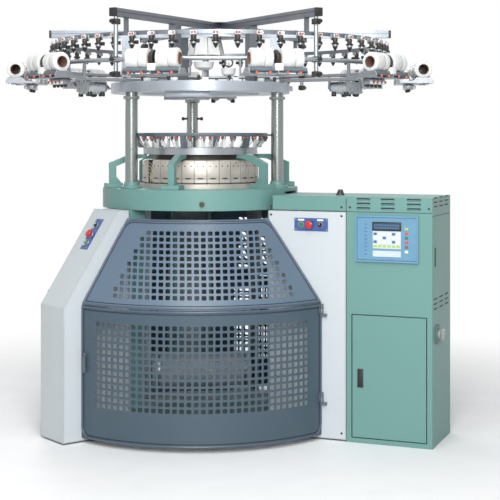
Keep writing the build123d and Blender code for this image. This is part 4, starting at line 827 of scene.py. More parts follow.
def build_cam_ring(sizes):
    """Curved cam boxes with their screws, the open box with its grooves, sinkers and base screws."""
    box = Form()
    box.sector([(266, 1306), (312, 1306), (320, 1308), (321.5, 1311), (321.5, 1423), (319, 1427), (312, 1431),
                (266, 1431)], -5.75, 5.75)
    box.sector([(320, 1311.5), (323.4, 1311.5), (323.4, 1325), (320, 1326)], -5.6, 5.6)
    for angle, z, radius in ((-2.9, 1399, 3.6), (2.9, 1399, 3.6), (0, 1416, 2.0)):
        box.turned([(radius, 0), (radius, 1.4), (radius * 0.5, 1.4), (radius * 0.4, 0.7), (0, 0.7)],
                   facing(spot(angle, 321, z), heading(angle)), 1, 10)
    oval = [(18 * out.x, 3.6 * out.y) for out in map(heading, range(0, 360, 30))]
    box.prism(oval, 1.6, placed(spot(0, 320.2, 1333), Y, X), 1)
    copies("cam_plates", box, ("cam", "bronze"), "frame", ("cam_boxes",),
           places=[spin(OPEN_CAM_BOX + CAM_STEP * i) for i in range(1, 30)])
    grooves = Form()
    grooves.sector([(266, 1306), (309, 1306), (309, 1425), (305, 1431), (266, 1431)],
                   OPEN_CAM_BOX - 5.9, OPEN_CAM_BOX + 5.9)
    face = 309
    for number, radius in enumerate((8, 20, 32, 44, 56)):
        arc = []
        for step in range(-4, 13):
            turn = math.radians(step * 11.25)
            across, z = radius * math.cos(turn), 1330 + radius * math.sin(turn) * 1.5
            angle = math.degrees(across / face) - 3.6
            if 1308 <= z <= 1424 and across >= -24 and abs(angle) < 5.7:
                arc.append(spot(OPEN_CAM_BOX + angle, face, z))
        for low, high in zip(arc, arc[1:]):
            grooves.rod(low, high, 3.2, 1 + number % 2, 6)
    grooves.settle("open_cam_box", ("card", "brass", "cam"), "frame", "machined_steel")
    # Painted shade: a dark ring behind and inside the cam boxes, which shows black in the seams between them,
    # where shade falls.
    gap = Form()
    gap.turned([(262.6, 1304), (310, 1304), (310, 1429), (262.6, 1429)], sides=90, loop=True)
    gap.settle("cam_gap_core", ("gap",), "frame", "cast_base")
    # The sinkers take the grey fittings finish, darker than their steel, as painted shade in the band above
    # the cam boxes.
    sinker = Form()
    sinker.block((11, 1.6, 16), at(0, 0, -10))
    copies("sinker_ring", sinker, ("fitting",), "cylinder",
           ring=(sizes.needles, *SINKERS, 0.0))
    screw = Form()
    screw.turned([(5.5, 0), (5.5, 5), (3, 5), (3, 3), (0, 3)], sides=10)
    copies("cam_base_screws", screw, ("bronze",), "frame",
           ring=(30, *BASE_SCREWS, math.radians(6)))


def build_guides():
    """Yarn guides on the feeder ring, and the guide ring with its posts and thin yarn tubes."""
    guide = Form()
    guide.block((9, 16, 46), HOME, 0, 1.6, 2)
    guide.block((14, 8, 12), at(-4, 0, 38), 1, 1.5)
    guide.turned([(7.5, -2), (10, 0), (7.5, 2), (5.2, 0)], facing((2, 0, 56)), 2, 16, True)
    guide.rod((2, 0, 44), (2, 0, 50), 2.2, 0, 8)
    copies("yarn_guide_fingers", guide, ("ivory", "alloy", "ceramic"), "frame",
           ("yarn_guides",), ring=(15, *FINGERS, 0.0))
    tube = Form()
    tube.block((13, 17, 15), at(2, 0, -21), 2, 2.0)
    tube.turned([(0, 0), (3, 0), (6, 9), (6, 14), (0, 14)], at(2, 0, -34), 2, 12)
    tube.rod((-38, 0, -66), (0, 0, -28), 2.6, 0, 8)
    tube.rod((-38, 8, -66), (0, 2, -28), 1.6, 0, 6)
    tube.rod((-40, -9, -66), (2, -3, -8), 1.6, 0, 6)
    tube.turned([(6, -4), (8.5, 0), (6, 4), (4, 0)], facing((9, 0, -13)), 1, 14, True)
    copies("yarn_tubes", tube, ("ivory", "ceramic", "fitting"), "frame",
           ring=(30, *TUBES, math.radians(3)))
    post = Form()
    post.prism([(-50, -62), (-14, -62), (-14, -56), (2, -10), (2, 12), (-12, 12), (-14, -4), (-34, -54),
                (-50, -56)], 30, placed(Y * 15, X, -Y), 0, 1.5)
    copies("guide_ring_posts", post, ("fitting",), "frame",
           ring=(6, *POSTS, math.radians(-111)))
    band = Form()
    band.turned([(361, 1558), (373, 1558), (374, 1560), (374, 1575), (372, 1577), (363, 1577), (361, 1575)],
                sides=96, loop=True)
    band.settle("guide_ring_band", ("fitting",), "frame", "polished_steel")


def build_columns():
    """Column collars and the rear column's side knobs."""
    form = Form()
    for angle in (REAR_LEG, LEFT_LEG, RIGHT_LEG):
        foot = at(*spot(angle, COLUMN_CIRCLE, COLUMN_FOOT))
        collar = [(33.6, 0), (58, 0), (58, 10), (52, 14), (40, 16), (38, 34), (33.6, 36)]
        form.turned(collar, foot, 0, 40, True)
        top = at(*spot(angle, COLUMN_CIRCLE, COLUMN_TOP))
        form.turned([(33.6, 0), (42, 2), (44, 8), (44, 18), (33.6, 19)], top, 1, 40, True)
        for turn in range(4):
            bolt = at(*spot(angle, COLUMN_CIRCLE, COLUMN_FOOT + 9) + heading(45 + 90 * turn) * 48)
            form.turned([(5, 0), (5, 7), (0, 8)], bolt, 2, 6)
    for side in (172, -8):
        knob = facing(spot(REAR_LEG, COLUMN_CIRCLE, 1663) + heading(side) * 33, heading(side))
        form.turned([(6, 0), (6, 14), (10, 16), (10, 27), (7, 30), (0, 30)], knob, 2, 16)
    form.settle("column_fittings", ("mint", "polished", "black"), "frame", "polished_steel")


def build_plate():
    """Edge band, bolts and fittings of the top plate, and the pale box under it."""
    bolt = Form()
    bolt.turned([(9, 0), (9, 8), (5, 8), (5, 4), (0, 4)], sides=12)
    copies("plate_bolts", bolt, ("bronze",), "frame", ring=(24, *PLATE_BOLTS, 0.1))
    band = Form()
    band.turned([(494, 1797), (496, 1799), (496, 1845), (494, 1847)], sides=96, loop=True)
    box = at(*spot(CREEL_TURN - 90, 330, 1766, 54)) @ spin(CREEL_TURN)
    band.block((236, 70, 31.2), box, 0, 3.0, 2)
    band.settle("plate_edge", ("plate",), "frame", "polished_steel")
    knob = Form()
    knob.turned([(5, 0), (5, 12), (9, 14), (9, 26), (6, 29), (0, 29)], sides=14)
    knob.block((24, 34, 18), at(0, 34, 0), 1, 2.5, 2)
    knob.turned([(4, 18), (7, 18), (7, 26), (4, 26)], at(0, 34, 0), 2, 12, True)
    copies("plate_fittings", knob, ("bronze", "ivory", "fitting"), "frame",
           ring=(18, *PLATE_FITTINGS, 0.05))


def beam(angle):
    """Underside and length of a creel beam: the straight pair lies below the two that cross it."""
    return (2146, 996) if angle % 180 else (2106, 936)


def build_beams():
    """Slotted alloy profiles of the creel's six arms, with their caps and corner plates."""
    half = 20.0
    side = [(half, -half), (half, -4), (half - 5, -4), (half - 5, 4), (half, 4)]
    outline = [(x * cos - y * sin, x * sin + y * cos) for cos, sin in QUARTERS for x, y in side]
    form = Form()
    for angle in BEAM_ANGLES:
        out = heading(CREEL_TURN + angle)
        low, reach = beam(angle)
        middle = low + half
        form.prism(outline, reach - 20, facing(creel_spot(angle, 20, middle), out))
        form.block((42, 42, 13), facing(creel_spot(angle, reach + 0.5, middle), out), 1, 3.0, 2)
        form.block((10, 20, 1.2), facing(creel_spot(angle, reach + 13, middle), out), 1, 0.4)
        for distance in (80, 420, 560, 870):
            bolt = at(*creel_spot(angle, distance, middle + 19))
            form.turned([(8, 0), (8, 3), (4, 3.6), (0, 3.6)], bolt, 2, 12)
    corners = [heading(CREEL_TURN + 30 + angle) * 110 for angle in BEAM_ANGLES]
    for z, share in ((2102, 1.0), (2143, 1.0), (2183, 0.8)):
        outline = [(corner.x * share, corner.y * share) for corner in corners]
        form.prism(outline, 6, at(*CREEL_CENTRE + UP * z), 0, 1.0)
    form.settle("creel_profiles", ("beam", "black", "bronze"), "frame", "bright_alloy",
                "creel_beams", "beam_end_caps")


def build_hub():
    """Faceted white hub with its seams, and the two white bowls and the ring beside it."""
    form = Form()
    place = at(30, 0, 2005)
    form.turned([(60, 2), (101, 0), (104, 5), (83, 98), (78, 102), (60, 102)], place, 0, 8, True)
    form.turned([(97, 0), (97, 5), (60, 5), (60, 0)], at(30, 0, 2001), 1, 32, True)
    for i in range(8):
        out = heading(45 * i)
        form.rod(X * 30 + out * 103 + UP * 2011, X * 30 + out * 83 + UP * 2103, 1.6, 1, 6)
    form.rod((30, 0, 1850), (30, 0, 2006), 17, 2, 20)
    for x, y, z, size in ((12, -62, 1922, 58), (152, -40, 1889, 42)):
        bowl = at(x, y, z)
        form.turned([(0, 0), (size * 0.5, 2), (size * 0.85, 14), (size, 46), (size - 3, 46), (size * 0.8, 17),
                     (0, 6)], bowl)
        form.rod((x, y, z - 40), (x, y, z + 3), 9, 2, 12)
        form.rod((x, y, z - 34), (30, 0, z - 34), 7, 2, 10)
    form.turned([(18, -4), (26, -4), (27, 0), (26, 4), (18, 4)], facing((150, -64, 1966), Y), 1, 28, True)
    form.rod((150, -60, 1966), (150, -60, 1925), 5, 2, 10)
    form.rod((-60, -40, 1996), (250, -84, 1996), 8, 1, 10)
    form.settle("creel_hub_shell", ("ivory", "bronze", "alloy"), "frame", "white_plastic", "creel_hub")


def build_rail():
    """Round creel rail with its hanger rods and clamps."""
    circle = [creel_spot(angle, RAIL_CIRCLE, RAIL_Z) for angle in range(0, 360, 5)]
    circle.append(circle[0].copy())
    crossed = [angle for angle in BEAM_ANGLES if angle % 180]
    hangers = [[creel_spot(angle, HANGER_CIRCLE, z) for z in (1845, 2147)] for angle in crossed]
    piece = rails("creel_rail_tube", [circle] + hangers, 11.0, "alloy", "frame", 14)
    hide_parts("creel_rail")
    clamp = Form()
    clamp.block((34, 34, 28), at(0, 0, -14), 0, 3.0, 2)
    clamp.turned([(6, 0), (6, 12), (10, 13), (10, 26), (0, 28)], facing((17, 0, 0)), 1, 12)
    places = [creel_place(angle, HANGER_CIRCLE, z) for angle in crossed for z in (1862, 1934, 2120)]
    copies("creel_clamps", clamp, ("bronze", "black"), "frame", places=places)


def build_heads():
    """Feeder heads: black cones and collars, dark bodies, and pale eyelets with pink centres."""
    head = Form()
    head.turned([(0, 0), (3, 0), (12, 17), (13, 22), (0, 22)], at(0, 0, 1986), 3, 18)
    head.turned([(0, 0), (14, 0), (15, 2), (15, 8), (14, 10), (0, 10)], at(0, 0, 2008), 1, 20)
    head.turned([(0, 0), (18, 0), (19, 1.5), (19, 6), (17, 8), (0, 8)], at(0, 0, 2018), 3, 20)
    head.turned([(11, 0), (12, 3), (14, 20), (13, 24), (0, 24)], at(0, 0, 2026), 4, 20)
    head.block((14, 20, 16), at(0, -4, 2049), 1, 3.0, 2)
    for y, way in ((-7, Vector((1, 0.35, 0))), (9, Vector((1, -0.35, 0)))):
        head.turned([(6, -3), (10, -3), (11, 0), (10, 3), (6, 3)], facing((6, y, 2062), way), 0, 16, True)
        head.turned([(0, -2), (6, -2), (6, 2), (0, 2)], facing((7, y, 2062), way), 2, 12)
    head.block((16, 16, 18), at(-12, 20, 2012), 3, 2.0)
    head.block((7, 26, 30), at(-16.5, 0, 2040), 1, 1.0)
    places = [creel_place(360 / HEAD_COUNT * (i + 0.5), HEAD_CIRCLE, 0) for i in range(HEAD_COUNT)]
    copies("feeder_head_set", head, ("eyelet", "alloy", "pink", "black", "bronze"), "frame",
           ("feeder_heads",), places)


def build_packages():
    """Wound elastane packages on their card tubes, and the rollers and brackets that carry them."""
    package = Form()
    package.turned([(28, -54), (42, -54), (47, -52), (48.8, -47), (49, -12), (47.2, -9.5), (47.2, -8.5),
                    (49, -6), (49, 20), (48.6, 47), (47, 52), (42, 54), (28, 54)], sides=40, loop=True)
    package.turned([(26.5, -58.5), (28.6, -58.5), (28.6, 58.5), (26.5, 58.5)], HOME, 1, 32, True)
    package.turned([(46.6, -12), (49.3, -12), (49.3, -8), (46.6, -8)], HOME, 2, 40, True)
    places = []
    for direction in PAIR_DIRECTIONS:
        out, along = (heading(CREEL_TURN + direction + turn) for turn in (0, -90))
        for shift in (-75, 75):
            places.append(placed(creel_spot(direction, PACKAGE_CIRCLE, PACKAGE_Z, shift), out, along))
    copies("elastane_package_set", package, ("yarn", "card", "roller"), "frame",
           ("elastane_packages",), places)

    tray = Form()
    for x in (-31, 31):
        start = facing((x, -143, 1871), Y)
        tray.turned([(11, 0), (11, 286)], start, 1, 20)
        tray.turned([(5, -4), (5, 290)], start, 0, 10)
    for y in (-142, 0, 142):
        tray.prism([(-132, 1848), (50, 1848), (50, 1862), (40, 1880), (-40, 1880), (-60, 1860), (-112, 1857),
                    (-114, 1922), (-132, 1922)], 5, placed(Y * (y + 2.5), X, -Y), 0, 0.8)
    for y in (-75, 75):
        tray.rod((-46, y, 1852), (-58, y, 1930), 3.2, 0, 8)
        tray.rod((-58, y, 1930), (-22, y, 1958), 3.2, 0, 8)
        eye = facing((-60, y, 1926))
        tray.turned([(11, -4), (14, 0), (11, 4), (6, 4), (6, -4)], eye, 2, 18, True)
        tray.turned([(4, -3), (8, -3), (8, 3), (4, 3)], eye, 3, 16, True)
    tray.block((132, 284, 5), at(-66, 0, 1847.5), 0, 1.0)
    hub = facing((0, 0, PACKAGE_Z), Y)
    tray.turned([(6, -8), (40, -8), (42, -6), (42, 6), (40, 8), (6, 8)], hub, 4, 32, True)
    tray.rod((0, -8, PACKAGE_Z), (0, 8, PACKAGE_Z), 7, 1, 12)
    tray.block((34, 40, 34), at(34, 4, 1866), 2, 4.0, 2)
    for y in (-107, -43, 43, 107):
        tray.turned([(7, 0), (7, 3), (5, 5), (0, 5)], facing((52, y, 1855)), 3, 14)
    copies("package_roller_sets", tray, ("alloy", "fitting", "ivory", "ceramic", "black"), "frame",
           ("package_trays",), [creel_place(d, PACKAGE_CIRCLE, 0) for d in PAIR_DIRECTIONS])

    stop = Form()
    stop.block((40, 138, 30), at(0, 0, 1817), 0, 4.0, 2)
    for y in (-51, -17, 17, 51):
        eye = facing((20, y, 1829))
        stop.turned([(12, 0), (12, 8), (8, 14), (0, 14)], eye, 1, 14)
        stop.turned([(0, 0), (6, 0), (9, 8), (9, 15)], at(0, y, 1803), 2, 12)
        stop.turned([(4, 12), (7, 12), (7, 17), (4, 17)], eye, 3, 12, True)
    copies("stop_motion_sets", stop, ("alloy", "ivory", "black", "red"), "frame",
           ("stop_motions",), [creel_place(d, STOP_CIRCLE, 0) for d in PAIR_DIRECTIONS[2:8]])


def build_drives():
    """Creel drive units on their twin bars, with hoods, ribbed barrels and feet."""
    unit = Form()
    for y in (-11, 11):
        unit.block((600, 9, 18), at(555, y, 1850), 0, 1.5)
    channel = [(-52, 0), (-52, -50), (-49, -50), (-49, -3), (49, -3), (49, -50), (52, -50), (52, 0)]
    unit.prism(channel, 166, placed(Vector((770, 83, 1843)), X, -Y), 0, 0.6)
    barrel = [(6, -50), (25, -50), (27, -48)]
    for i in range(7):
        barrel += [(27, -44 + 13 * i), (24, -42 + 13 * i), (24, -38 + 13 * i), (27, -36 + 13 * i)]
    barrel += [(27, 48), (25, 50), (6, 50)]
    for y in (-44, 44):
        axle = facing((770, y, 1807))
        unit.turned(barrel, axle, 1, 24, True)
        unit.turned([(6, -54), (6, 54)], axle, 2, 12)
    for x in (734, 806):
        for y in (-60, 60):
            foot = at(x, y, 1767)
            unit.turned([(0, 0), (11, 0), (13, 3), (13, 18), (9, 24), (0, 24)], foot, 3, 18)
            unit.rod((x, y, 1789), (x, y, 1800), 4, 2, 8)
    for x in (735, 805):
        unit.rod((x, 0, 1838), (x, 0, 1852), 8, 2, 12)
    places = [creel_place(angle, 0, 0) for angle in (-150, -30, 90)]
    copies("creel_drive_units", unit, ("alloy", "roller", "machined", "black"), "frame",
           ("creel_drives",), places)


def build_rollers():
    """Round take-down rollers and cloth roller, with their journals."""
    barrel = 276.0
    for name, body, y, z, radius, node in (
            ("nip_roller_front", "front_takedown_roller", -34.5, 560, 34, "takedown_roller_front"),
            ("nip_roller_rear", "rear_takedown_roller", 34.5, 560, 34, "takedown_roller_rear"),
            ("cloth_roll_bar", "cloth_roller", 0, 262, 94, "cloth_roller")):
        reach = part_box(node)[1][0] * 1000 - 0.5
        start, end, face = reach - barrel, reach + barrel, radius - 0.4
        place = facing((-reach, y, z))
        form = Form()
        near = [(12, 0), (12, start), (radius * 0.8, start), (radius - 1.2, start + 2), (face, start + 8)]
        far = [(face, end - 8), (radius - 1.2, end - 2), (radius * 0.8, end), (12, end), (12, 2 * reach)]
        form.turned(near + far, place, 0, 48)
        for low in (start + 30, end - 44):
            high, inner, outer = low + 14, radius - 2, radius - 0.1
            form.turned([(inner, low), (outer, low), (outer, high), (inner, high)], place, 1, 48, True)
        form.settle(name, ("roller", "machined"), body, "roller_grey", node)


def build_station(place, side):
    """Push buttons of one station: rims on the plate, and the three controls."""
    start_x, stop_x, dial_x = -54, -6, 50
    trim = Form()
    for x, radius in ((start_x, 17), (stop_x, 15), (dial_x, 15)):
        rim = [(radius - 4, 3), (radius, 3), (radius, 5.5), (radius - 1.5, 7), (radius - 4, 7)]
        trim.turned(rim, place @ at(x, 0, 0), 0, 32, True)
    for x in (-83, 83):
        for y in (-26, 26):
            trim.turned([(3.4, 3), (3.4, 4.2), (2, 4.8), (0, 4.8)], place @ at(x, y, 0), 0, 10)
    for x in (start_x, dial_x):
        trim.block((34, 9, 0.5), place @ at(x, 24, 3), 1)
    trim.settle(f"station_trim_{side}", ("alloy", "ivory"), "frame", "blue_plate")
    start = Form()
    start.turned([(12.7, 1), (12.7, 9), (11.5, 11.5), (9, 12), (0, 11)], place @ at(start_x, 0, 0))
    node = f"start_button_{side}"
    start.settle(f"start_cap_{side}", ("start",), node, "start_plastic", node)
    stop = Form()
    stop.turned([(10.8, 1), (10.8, 16), (19, 17), (20.4, 20), (20.4, 25), (18, 29), (10, 32), (0, 32.5)],
                place @ at(stop_x, 0, 0), 0, 36)
    node = f"stop_button_{side}"
    stop.settle(f"stop_mushroom_{side}", ("red",), node, "red_plastic", node)
    dial = Form()
    here = place @ at(dial_x, 0, 0)
    dial.turned([(7.8, 1), (7.8, 3), (11.8, 3.5), (11.8, 9), (10.5, 10.5), (0, 10.5)], here)
    dial.block((7, 21, 9), here @ at(0, 0, 9.5), 0, 2.2, 2)
    dial.block((1.6, 8, 0.6), here @ at(0, 5, 18.2), 1)
    node = f"selector_{side}"
    dial.settle(f"selector_dial_{side}", ("black", "ivory"), node, "black_plastic", node)


def build_stations():
    """Both push-button stations."""
    build_station(front(741, 1103), "right")
    top_z, top_reach = 1171.5, 616
    rise, run = top_z - 690, 938 - top_reach
    slope = math.hypot(rise, run)
    up = heading(LEFT_LEG) * (-run / slope) + UP * (rise / slope)
    out = heading(LEFT_LEG) * (rise / slope) + UP * (run / slope)
    top = heading(LEFT_LEG) * top_reach + UP * top_z
    build_station(placed(top - up * 150, up, out), "left")


def build_panel():
    """Control panel foil: display, key rows, small lamps and bare pale labels."""
    finishes = ("panel", "black", "screen", "key", "keyblue", "keygreen", "lamp", "label", "start", "card")
    foil, black, screen, key, blue, green, lamp, label, start, card = range(len(finishes))
    middle, face = 1146, 10.0
    columns = [1085.5 + 24 * column for column in range(6)]
    form = Form()
    form.block((310, 217, face), front(middle - 1, 1040.5), foil, 2.0)
    form.block((150, 44, 2.2), front(middle, 1104, face), black, 3.0, 3)
    form.block((138, 33, 1.0), front(middle, 1104, face + 2), screen, 0.3)
    for line in range(2):
        for cell in range(16):
            form.block((6, 9, 0.4), front(1084 + cell * 8.2, 1110 - line * 13, face + 2.8), blue)
    form.block((146, 88, 0.8), front(middle, 1036, face), label, 0.3)
    for row, z in enumerate((1066, 1046, 1026)):
        for column, x in enumerate(columns):
            finish = key if (2 * row + column) % 4 else blue
            form.block((17, 13, 1.6), front(x, z, face), finish, 0.7)
    for x in columns:
        form.block((19, 12, 1.6), front(x, 1004, face), green, 0.7)
    for row in range(9):
        form.block((14, 4, 0.7), front(1036, 1114 - row * 19, face), blue, 0.2)
    for row, finish in enumerate((green, lamp, start, lamp, card, key)):
        form.block((17, 13, 1.6), front(1248, 1094 - row * 23, face), finish, 0.7)
    form.block((146, 30, 0.8), front(middle, 966, face), label, 0.3)
    form.settle("panel_foil", finishes, "frame", "keypad", "control_keypad")


def build_cabinet():
    """Seams, screws, louvre hoods, handle plate and lock paddle of the cabinet, with painted shade in its
    slats, screw slots and louvre openings.
    """
    seams = Form()
    for start, end in ((CABINET_LEFT, CABINET_SPLIT), (CABINET_SPLIT, CABINET_SIDE)):
        seams.block((end - start - 4, 2.4, 0.6), front((start + end) / 2, 1174))
    seams.block((2.4, 1225, 0.6), front(CABINET_SPLIT + 1, 625))
    # The slats on the outer side are dark bars: painted shade in the louvres' openings.
    for row in range(3):
        for lateral in (198, 78, -42):
            seams.block((74, 7, 0.8), outer(lateral, 742 - row * 25), 0, 0.3)
            seams.block((74, 6, 0.8), outer(lateral, 1249 - row * 22), 0, 0.3)
    seams.block((22, 96, 0.8), outer(205, 951), 0, 0.3)
    seams.block((374, 2.4, 0.6), outer(72, 1158))
    seams.settle("cabinet_seams", ("gap",), "frame", "painted_green")
    screw = Form()
    screw.turned([(6, 0), (6, 1.8), (4, 3.2), (0, 3.5)], sides=14)
    # The slot is a thin dark bar: painted shade in the screwdriver slot.
    screw.block((7, 1.2, 0.6), at(0, 0, 3.1), 1)
    spots = [front(x, z, -1) for x, z in ((520, 1196), (905, 1196), (950, 1196), (1360, 1196), (520, 40),
                                          (905, 40), (905, 1150), (520, 1150))]
    copies("cabinet_screws", screw, ("bronze", "gap"), "frame", places=spots)
    hood = Form()
    across = facing((-34, 0, 0))
    hood.prism([(0, 2), (4, 4.5), (4, 6), (0, 9)], 68, across, 0, 0.6)
    # A dark strip under the hood: painted shade in the louvre's opening.
    hood.block((70, 8.5, 1.0), at(0, -1.6, 0), 1, 0.4)
    spots = [front(x, z, -0.5) for x in (1021, 1148, 1283) for z in (1194, 1217, 1240)]
    copies("louvre_hoods", hood, ("mint", "gap"), "frame", places=spots)
    handle = Form()
    handle.block((30, 95, 4), front(1005, 330), 0, 1.8, 2)
    handle.settle("handle_plate", ("black",), "door", "black_plastic")
    paddle = Form()
    paddle.block((21, 64, 4), front(1005, 322, 4), 0, 1.8, 2)
    paddle.turned([(5, 0), (5, 1.5), (0, 2.0)], front(1005, 348, 8), 1, 16)
    paddle.settle("lift_paddle", ("black", "bronze"), "lock_paddle", "black_plastic", "lock_paddle")


def build_switch():
    """Round main switch with its lever, on the cabinet's outer side."""
    base = placed(spot(RIGHT_LEG, CABINET_SIDE, 560, 169), heading(RIGHT_LEG - 90), heading(RIGHT_LEG))
    here = base @ at(0, 0, 8.5)
    knob = Form()
    knob.turned([(0, 0), (24, 0), (26, 2), (26, 12), (24, 14), (0, 14)], here, 0, 40)
    edge = [(-8, -26), (-5, -30), (5, -30), (8, -26)]
    knob.prism(edge + [(x, -y) for x, y in reversed(edge)], 19, here @ at(0, 0, 13), 0, 2.5, 2)
    knob.block((2.4, 16, 0.6), here @ at(0, 19, 31.8), 1)
    knob.settle("switch_lever", ("lever", "black"), "main_switch", "black_plastic", "main_switch")
    rim = Form()
    rim.block((91, 71, 8.3), base @ spin(90), 0, 0.9, 2)
    rim.turned([(28, 7.5), (31, 7.5), (31, 10), (28, 10)], base, 0, 40, True)
    for x in (-29, 29):
        for y in (-39, 39):
            rim.turned([(3, 7.8), (3, 9), (0, 9.6)], base @ at(x, y, 0), 1, 10)
    rim.settle("switch_cover", ("base", "gap"), "frame", "blue_plate")


def build_motor():
    """Ribbed motor with its end bells, terminal box and foot plate."""
    low, high = (corner[2] * 1000 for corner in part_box("motor"))
    here = at(*spot(RIGHT_LEG, 790, low + 24))
    tall = high - low - 24
    motor = Form()
    profile = [(0, 0), (86, 0), (93, 6), (93, 40), (88, 44), (88, tall - 44), (93, tall - 40), (93, tall - 8),
               (88, tall - 1), (14.5, tall - 1), (14.5, tall - 30), (0, tall - 30)]
    motor.turned(profile, here, 0, 40)
    for i in range(2, 29):
        motor.block((10, 3, tall - 96), here @ spin(RIGHT_LEG + 12 * i) @ at(92, 0, 48))
    motor.block((30, 108, 120), here @ spin(RIGHT_LEG) @ at(100, 0, tall / 2 - 60), 0, 4.0, 2)
    motor.block((330, 224, 24), at(*spot(RIGHT_LEG, 705, low)) @ spin(RIGHT_LEG), 0, 1.5)
    motor.settle("motor_shell", ("motor",), "frame", "painted_green", "motor")


def dress_nodes():
    """Gives every carried-over solid its finish."""
    for name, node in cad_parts.items():
        material = FINISHES[NODE_FINISH[name]]
        if not node.data.materials:
            node.data.materials.append(material)
        for slot in node.material_slots:
            slot.material = material


def build_stage():
    """Pale floor, soft lamps, bright surroundings and the camera."""
    mesh = bpy.data.meshes.new("floor")
    mesh.from_pydata([(-40, -40, 0), (40, -40, 0), (40, 40, 0), (-40, 40, 0)], [], [(0, 1, 2, 3)])
    floor = linked("floor", mesh)
    material = bpy.data.materials.new("Pale floor")
    material.use_nodes = True
    nodes = Nodes(material.node_tree)
    place = nodes.add("ShaderNodeTexCoord").outputs["Object"]
    away = nodes.add("ShaderNodeVectorMath", {0: place}, operation="LENGTH").outputs["Value"]
    fade = nodes.times(nodes.ramp(away, 1.4, 3.6, kind="SMOOTHSTEP"), nodes.seen())
    colour = nodes.blend(nodes.noise(place, 6.0, 4.0), tone(236, 237, 238), tone(244, 245, 246))
    lit = nodes.add("ShaderNodeBsdfPrincipled", {"Base Color": colour, "Roughness": 0.6}).outputs[0]
    white = nodes.add("ShaderNodeEmission", {"Color": (1, 1, 1, 1), "Strength": 1.0}).outputs[0]
    mixed = nodes.add("ShaderNodeMixShader", {0: fade, 1: lit, 2: white})
    nodes.add("ShaderNodeOutputMaterial", {"Surface": mixed.outputs[0]})
    mesh.materials.append(material)

    world = bpy.data.worlds.new("Studio")
    bpy.context.scene.world = world
    world.use_nodes = True
    nodes = Nodes(world.node_tree)
    strength = nodes.ramp(nodes.seen(), 0.0, 1.0, 0.2, 1.0)
    light = nodes.add("ShaderNodeBackground", {"Color": (1, 1, 1, 1), "Strength": strength})
    nodes.add("ShaderNodeOutputWorld", {"Surface": light.outputs[0]})

    for name, size, power, where in (
            ("key", 2.6, 320, (-0.7, -6.6, 3.2)), ("crown", 2.4, 110, (-0.5, -3.2, 4.8)),
            ("top", 4.0, 60, (0.2, 0.3, 5.4)), ("back", 3.0, 80, (-0.6, 5.2, 3.2))):
        lamp = bpy.data.lights.new(name, "AREA")
        lamp.shape, lamp.size, lamp.energy = "SQUARE", size, power
        lamp.use_shadow = True
        holder = linked(name, lamp)
        holder.location = where
        aim = Vector((0.2, 0, 1.0)) - Vector(where)
        holder.rotation_euler = aim.to_track_quat("-Z", "Y").to_euler()

    data = bpy.data.cameras.new("camera")
    data.sensor_width, data.lens, data.shift_y = 36.0, 90.9, -0.2254
    camera = linked("camera", data)
    camera.location = (-0.742, -6.996, 1.553)
    camera.rotation_euler = (math.radians(90), 0, math.radians(CREEL_TURN))
    bpy.context.scene.camera = camera
    bpy.context.scene.view_settings.view_transform = "Standard"


class KnitterSizes(bpy.types.PropertyGroup):
    """Sizes of the fine pieces."""
    hole_share: FloatProperty(
        name="Hole share", description="Side of a guard's hole as a share of its pitch",
        default=0.68, min=0.3, max=0.85, subtype="FACTOR")
    bead: FloatProperty(
        name="Guard rail radius", description="Radius of the rail round each guard",
        default=0.0055, min=0.003, max=0.009, unit="LENGTH")
    needles: IntProperty(
        name="Sinkers", description="Sinkers shown on top of the cylinder", default=180, min=60, max=360)


class KnitterColours(bpy.types.PropertyGroup):
    """Colours of the painted pieces."""
    mint: FloatVectorProperty(
        name="Mint", description="Paint of the cabinet, bed and posts",
        subtype="COLOR", size=4, default=tone(102, 145, 140), min=0, max=1)
    white: FloatVectorProperty(
        name="White", description="Paint of the leg covers",
        subtype="COLOR", size=4, default=tone(196, 203, 207), min=0, max=1)
    # Lit and shaded copies of one paint: the upper guards' colour is lighter as painted light, the gate's
    # darker as painted shade.
    guard: FloatVectorProperty(
        name="Upper guards", description="Lit copy of the guards' paint, on the sloping guards",
        subtype="COLOR", size=4, default=tone(92, 110, 128), min=0, max=1)
    gate: FloatVectorProperty(
        name="Gate", description="Shaded copy of the guards' paint, on the gate and the lower guards",
        subtype="COLOR", size=4, default=tone(66, 84, 97), min=0, max=1)


class KNITTER_OT_finishes(bpy.types.Operator):
    """Make the finishes and give them to the carried-over solids"""
    bl_idname = "knitter.finishes"
    bl_label = "Finishes"

    def execute(self, context):
        make_finishes(context.scene.knitter_colours)
        dress_nodes()
        return {"FINISHED"}


class KNITTER_OT_guards(bpy.types.Operator):
    """Build the perforated guards, their rails and seals, and the gate's fittings"""
    bl_idname = "knitter.guards"
    bl_label = "Guards"

    def execute(self, context):
        build_guards(context.scene.knitter_sizes)
        build_gate_fittings()
        return {"FINISHED"}


class KNITTER_OT_cam_ring(bpy.types.Operator):
    """Build the cam boxes, sinkers and screws"""
    bl_idname = "knitter.cam_ring"
    bl_label = "Cam ring"

    def execute(self, context):
        build_cam_ring(context.scene.knitter_sizes)
        return {"FINISHED"}


class KNITTER_OT_guides(bpy.types.Operator):
    """Build the yarn guides, the guide ring's band and posts, and the yarn tubes"""
    bl_idname = "knitter.guides"
    bl_label = "Yarn guides"

    def execute(self, context):
        build_guides()
        return {"FINISHED"}


class KNITTER_OT_columns(bpy.types.Operator):
    """Build the columns' fittings and the plate's edge and bolts"""
    bl_idname = "knitter.columns"
    bl_label = "Columns and plate"

    def execute(self, context):
        build_columns()
        build_plate()
        return {"FINISHED"}


class KNITTER_OT_creel(bpy.types.Operator):
    """Build the creel's beams, hub, rail and feeder heads"""
    bl_idname = "knitter.creel"
    bl_label = "Creel"

    def execute(self, context):
        build_beams()
        build_hub()
        build_rail()
        build_heads()
        return {"FINISHED"}


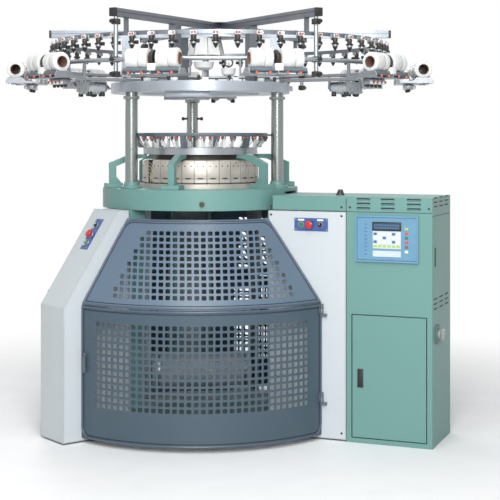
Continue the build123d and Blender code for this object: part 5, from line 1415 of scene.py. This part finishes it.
class KNITTER_OT_packages(bpy.types.Operator):
    """Build the elastane packages, their rollers and the creel drives"""
    bl_idname = "knitter.packages"
    bl_label = "Packages"

    def execute(self, context):
        build_packages()
        build_drives()
        return {"FINISHED"}


class KNITTER_OT_rollers(bpy.types.Operator):
    """Build the take-down and cloth rollers, and the motor"""
    bl_idname = "knitter.rollers"
    bl_label = "Rollers and motor"

    def execute(self, context):
        build_rollers()
        build_motor()
        return {"FINISHED"}


class KNITTER_OT_controls(bpy.types.Operator):
    """Build the push-button stations, the control panel and the cabinet's details"""
    bl_idname = "knitter.controls"
    bl_label = "Controls"

    def execute(self, context):
        build_stations()
        build_panel()
        build_cabinet()
        build_switch()
        return {"FINISHED"}


class KNITTER_OT_stage(bpy.types.Operator):
    """Build the floor, the lamps and the camera"""
    bl_idname = "knitter.stage"
    bl_label = "Stage"

    def execute(self, context):
        build_stage()
        return {"FINISHED"}


STEPS = ("stage", "finishes", "guards", "cam_ring", "guides", "columns", "creel", "packages", "rollers",
         "controls")


class KNITTER_PT_sidebar(bpy.types.Panel):
    """Sizes, colours and building steps"""
    bl_idname = "KNITTER_PT_sidebar"
    bl_label = "Knitting machine"
    bl_space_type = "VIEW_3D"
    bl_region_type = "UI"
    bl_category = "Knitting"

    def draw(self, context):
        for group in (context.scene.knitter_sizes, context.scene.knitter_colours):
            for name in group.__annotations__:
                self.layout.prop(group, name)
        for step in STEPS:
            self.layout.operator(f"knitter.{step}")


CLASSES = (
    KnitterSizes, KnitterColours, KNITTER_OT_finishes, KNITTER_OT_guards, KNITTER_OT_cam_ring,
    KNITTER_OT_guides, KNITTER_OT_columns, KNITTER_OT_creel, KNITTER_OT_packages, KNITTER_OT_rollers,
    KNITTER_OT_controls, KNITTER_OT_stage, KNITTER_PT_sidebar)


def register():
    for cls in CLASSES:
        bpy.utils.register_class(cls)
    bpy.types.Scene.knitter_sizes = PointerProperty(type=KnitterSizes)
    bpy.types.Scene.knitter_colours = PointerProperty(type=KnitterColours)


def unregister():
    del bpy.types.Scene.knitter_sizes
    del bpy.types.Scene.knitter_colours
    for cls in reversed(CLASSES):
        bpy.utils.unregister_class(cls)


def main():
    """Builds everything in order."""
    register()
    for step in STEPS:
        getattr(bpy.ops.knitter, step)()


if __name__ == "__main__":
    main()
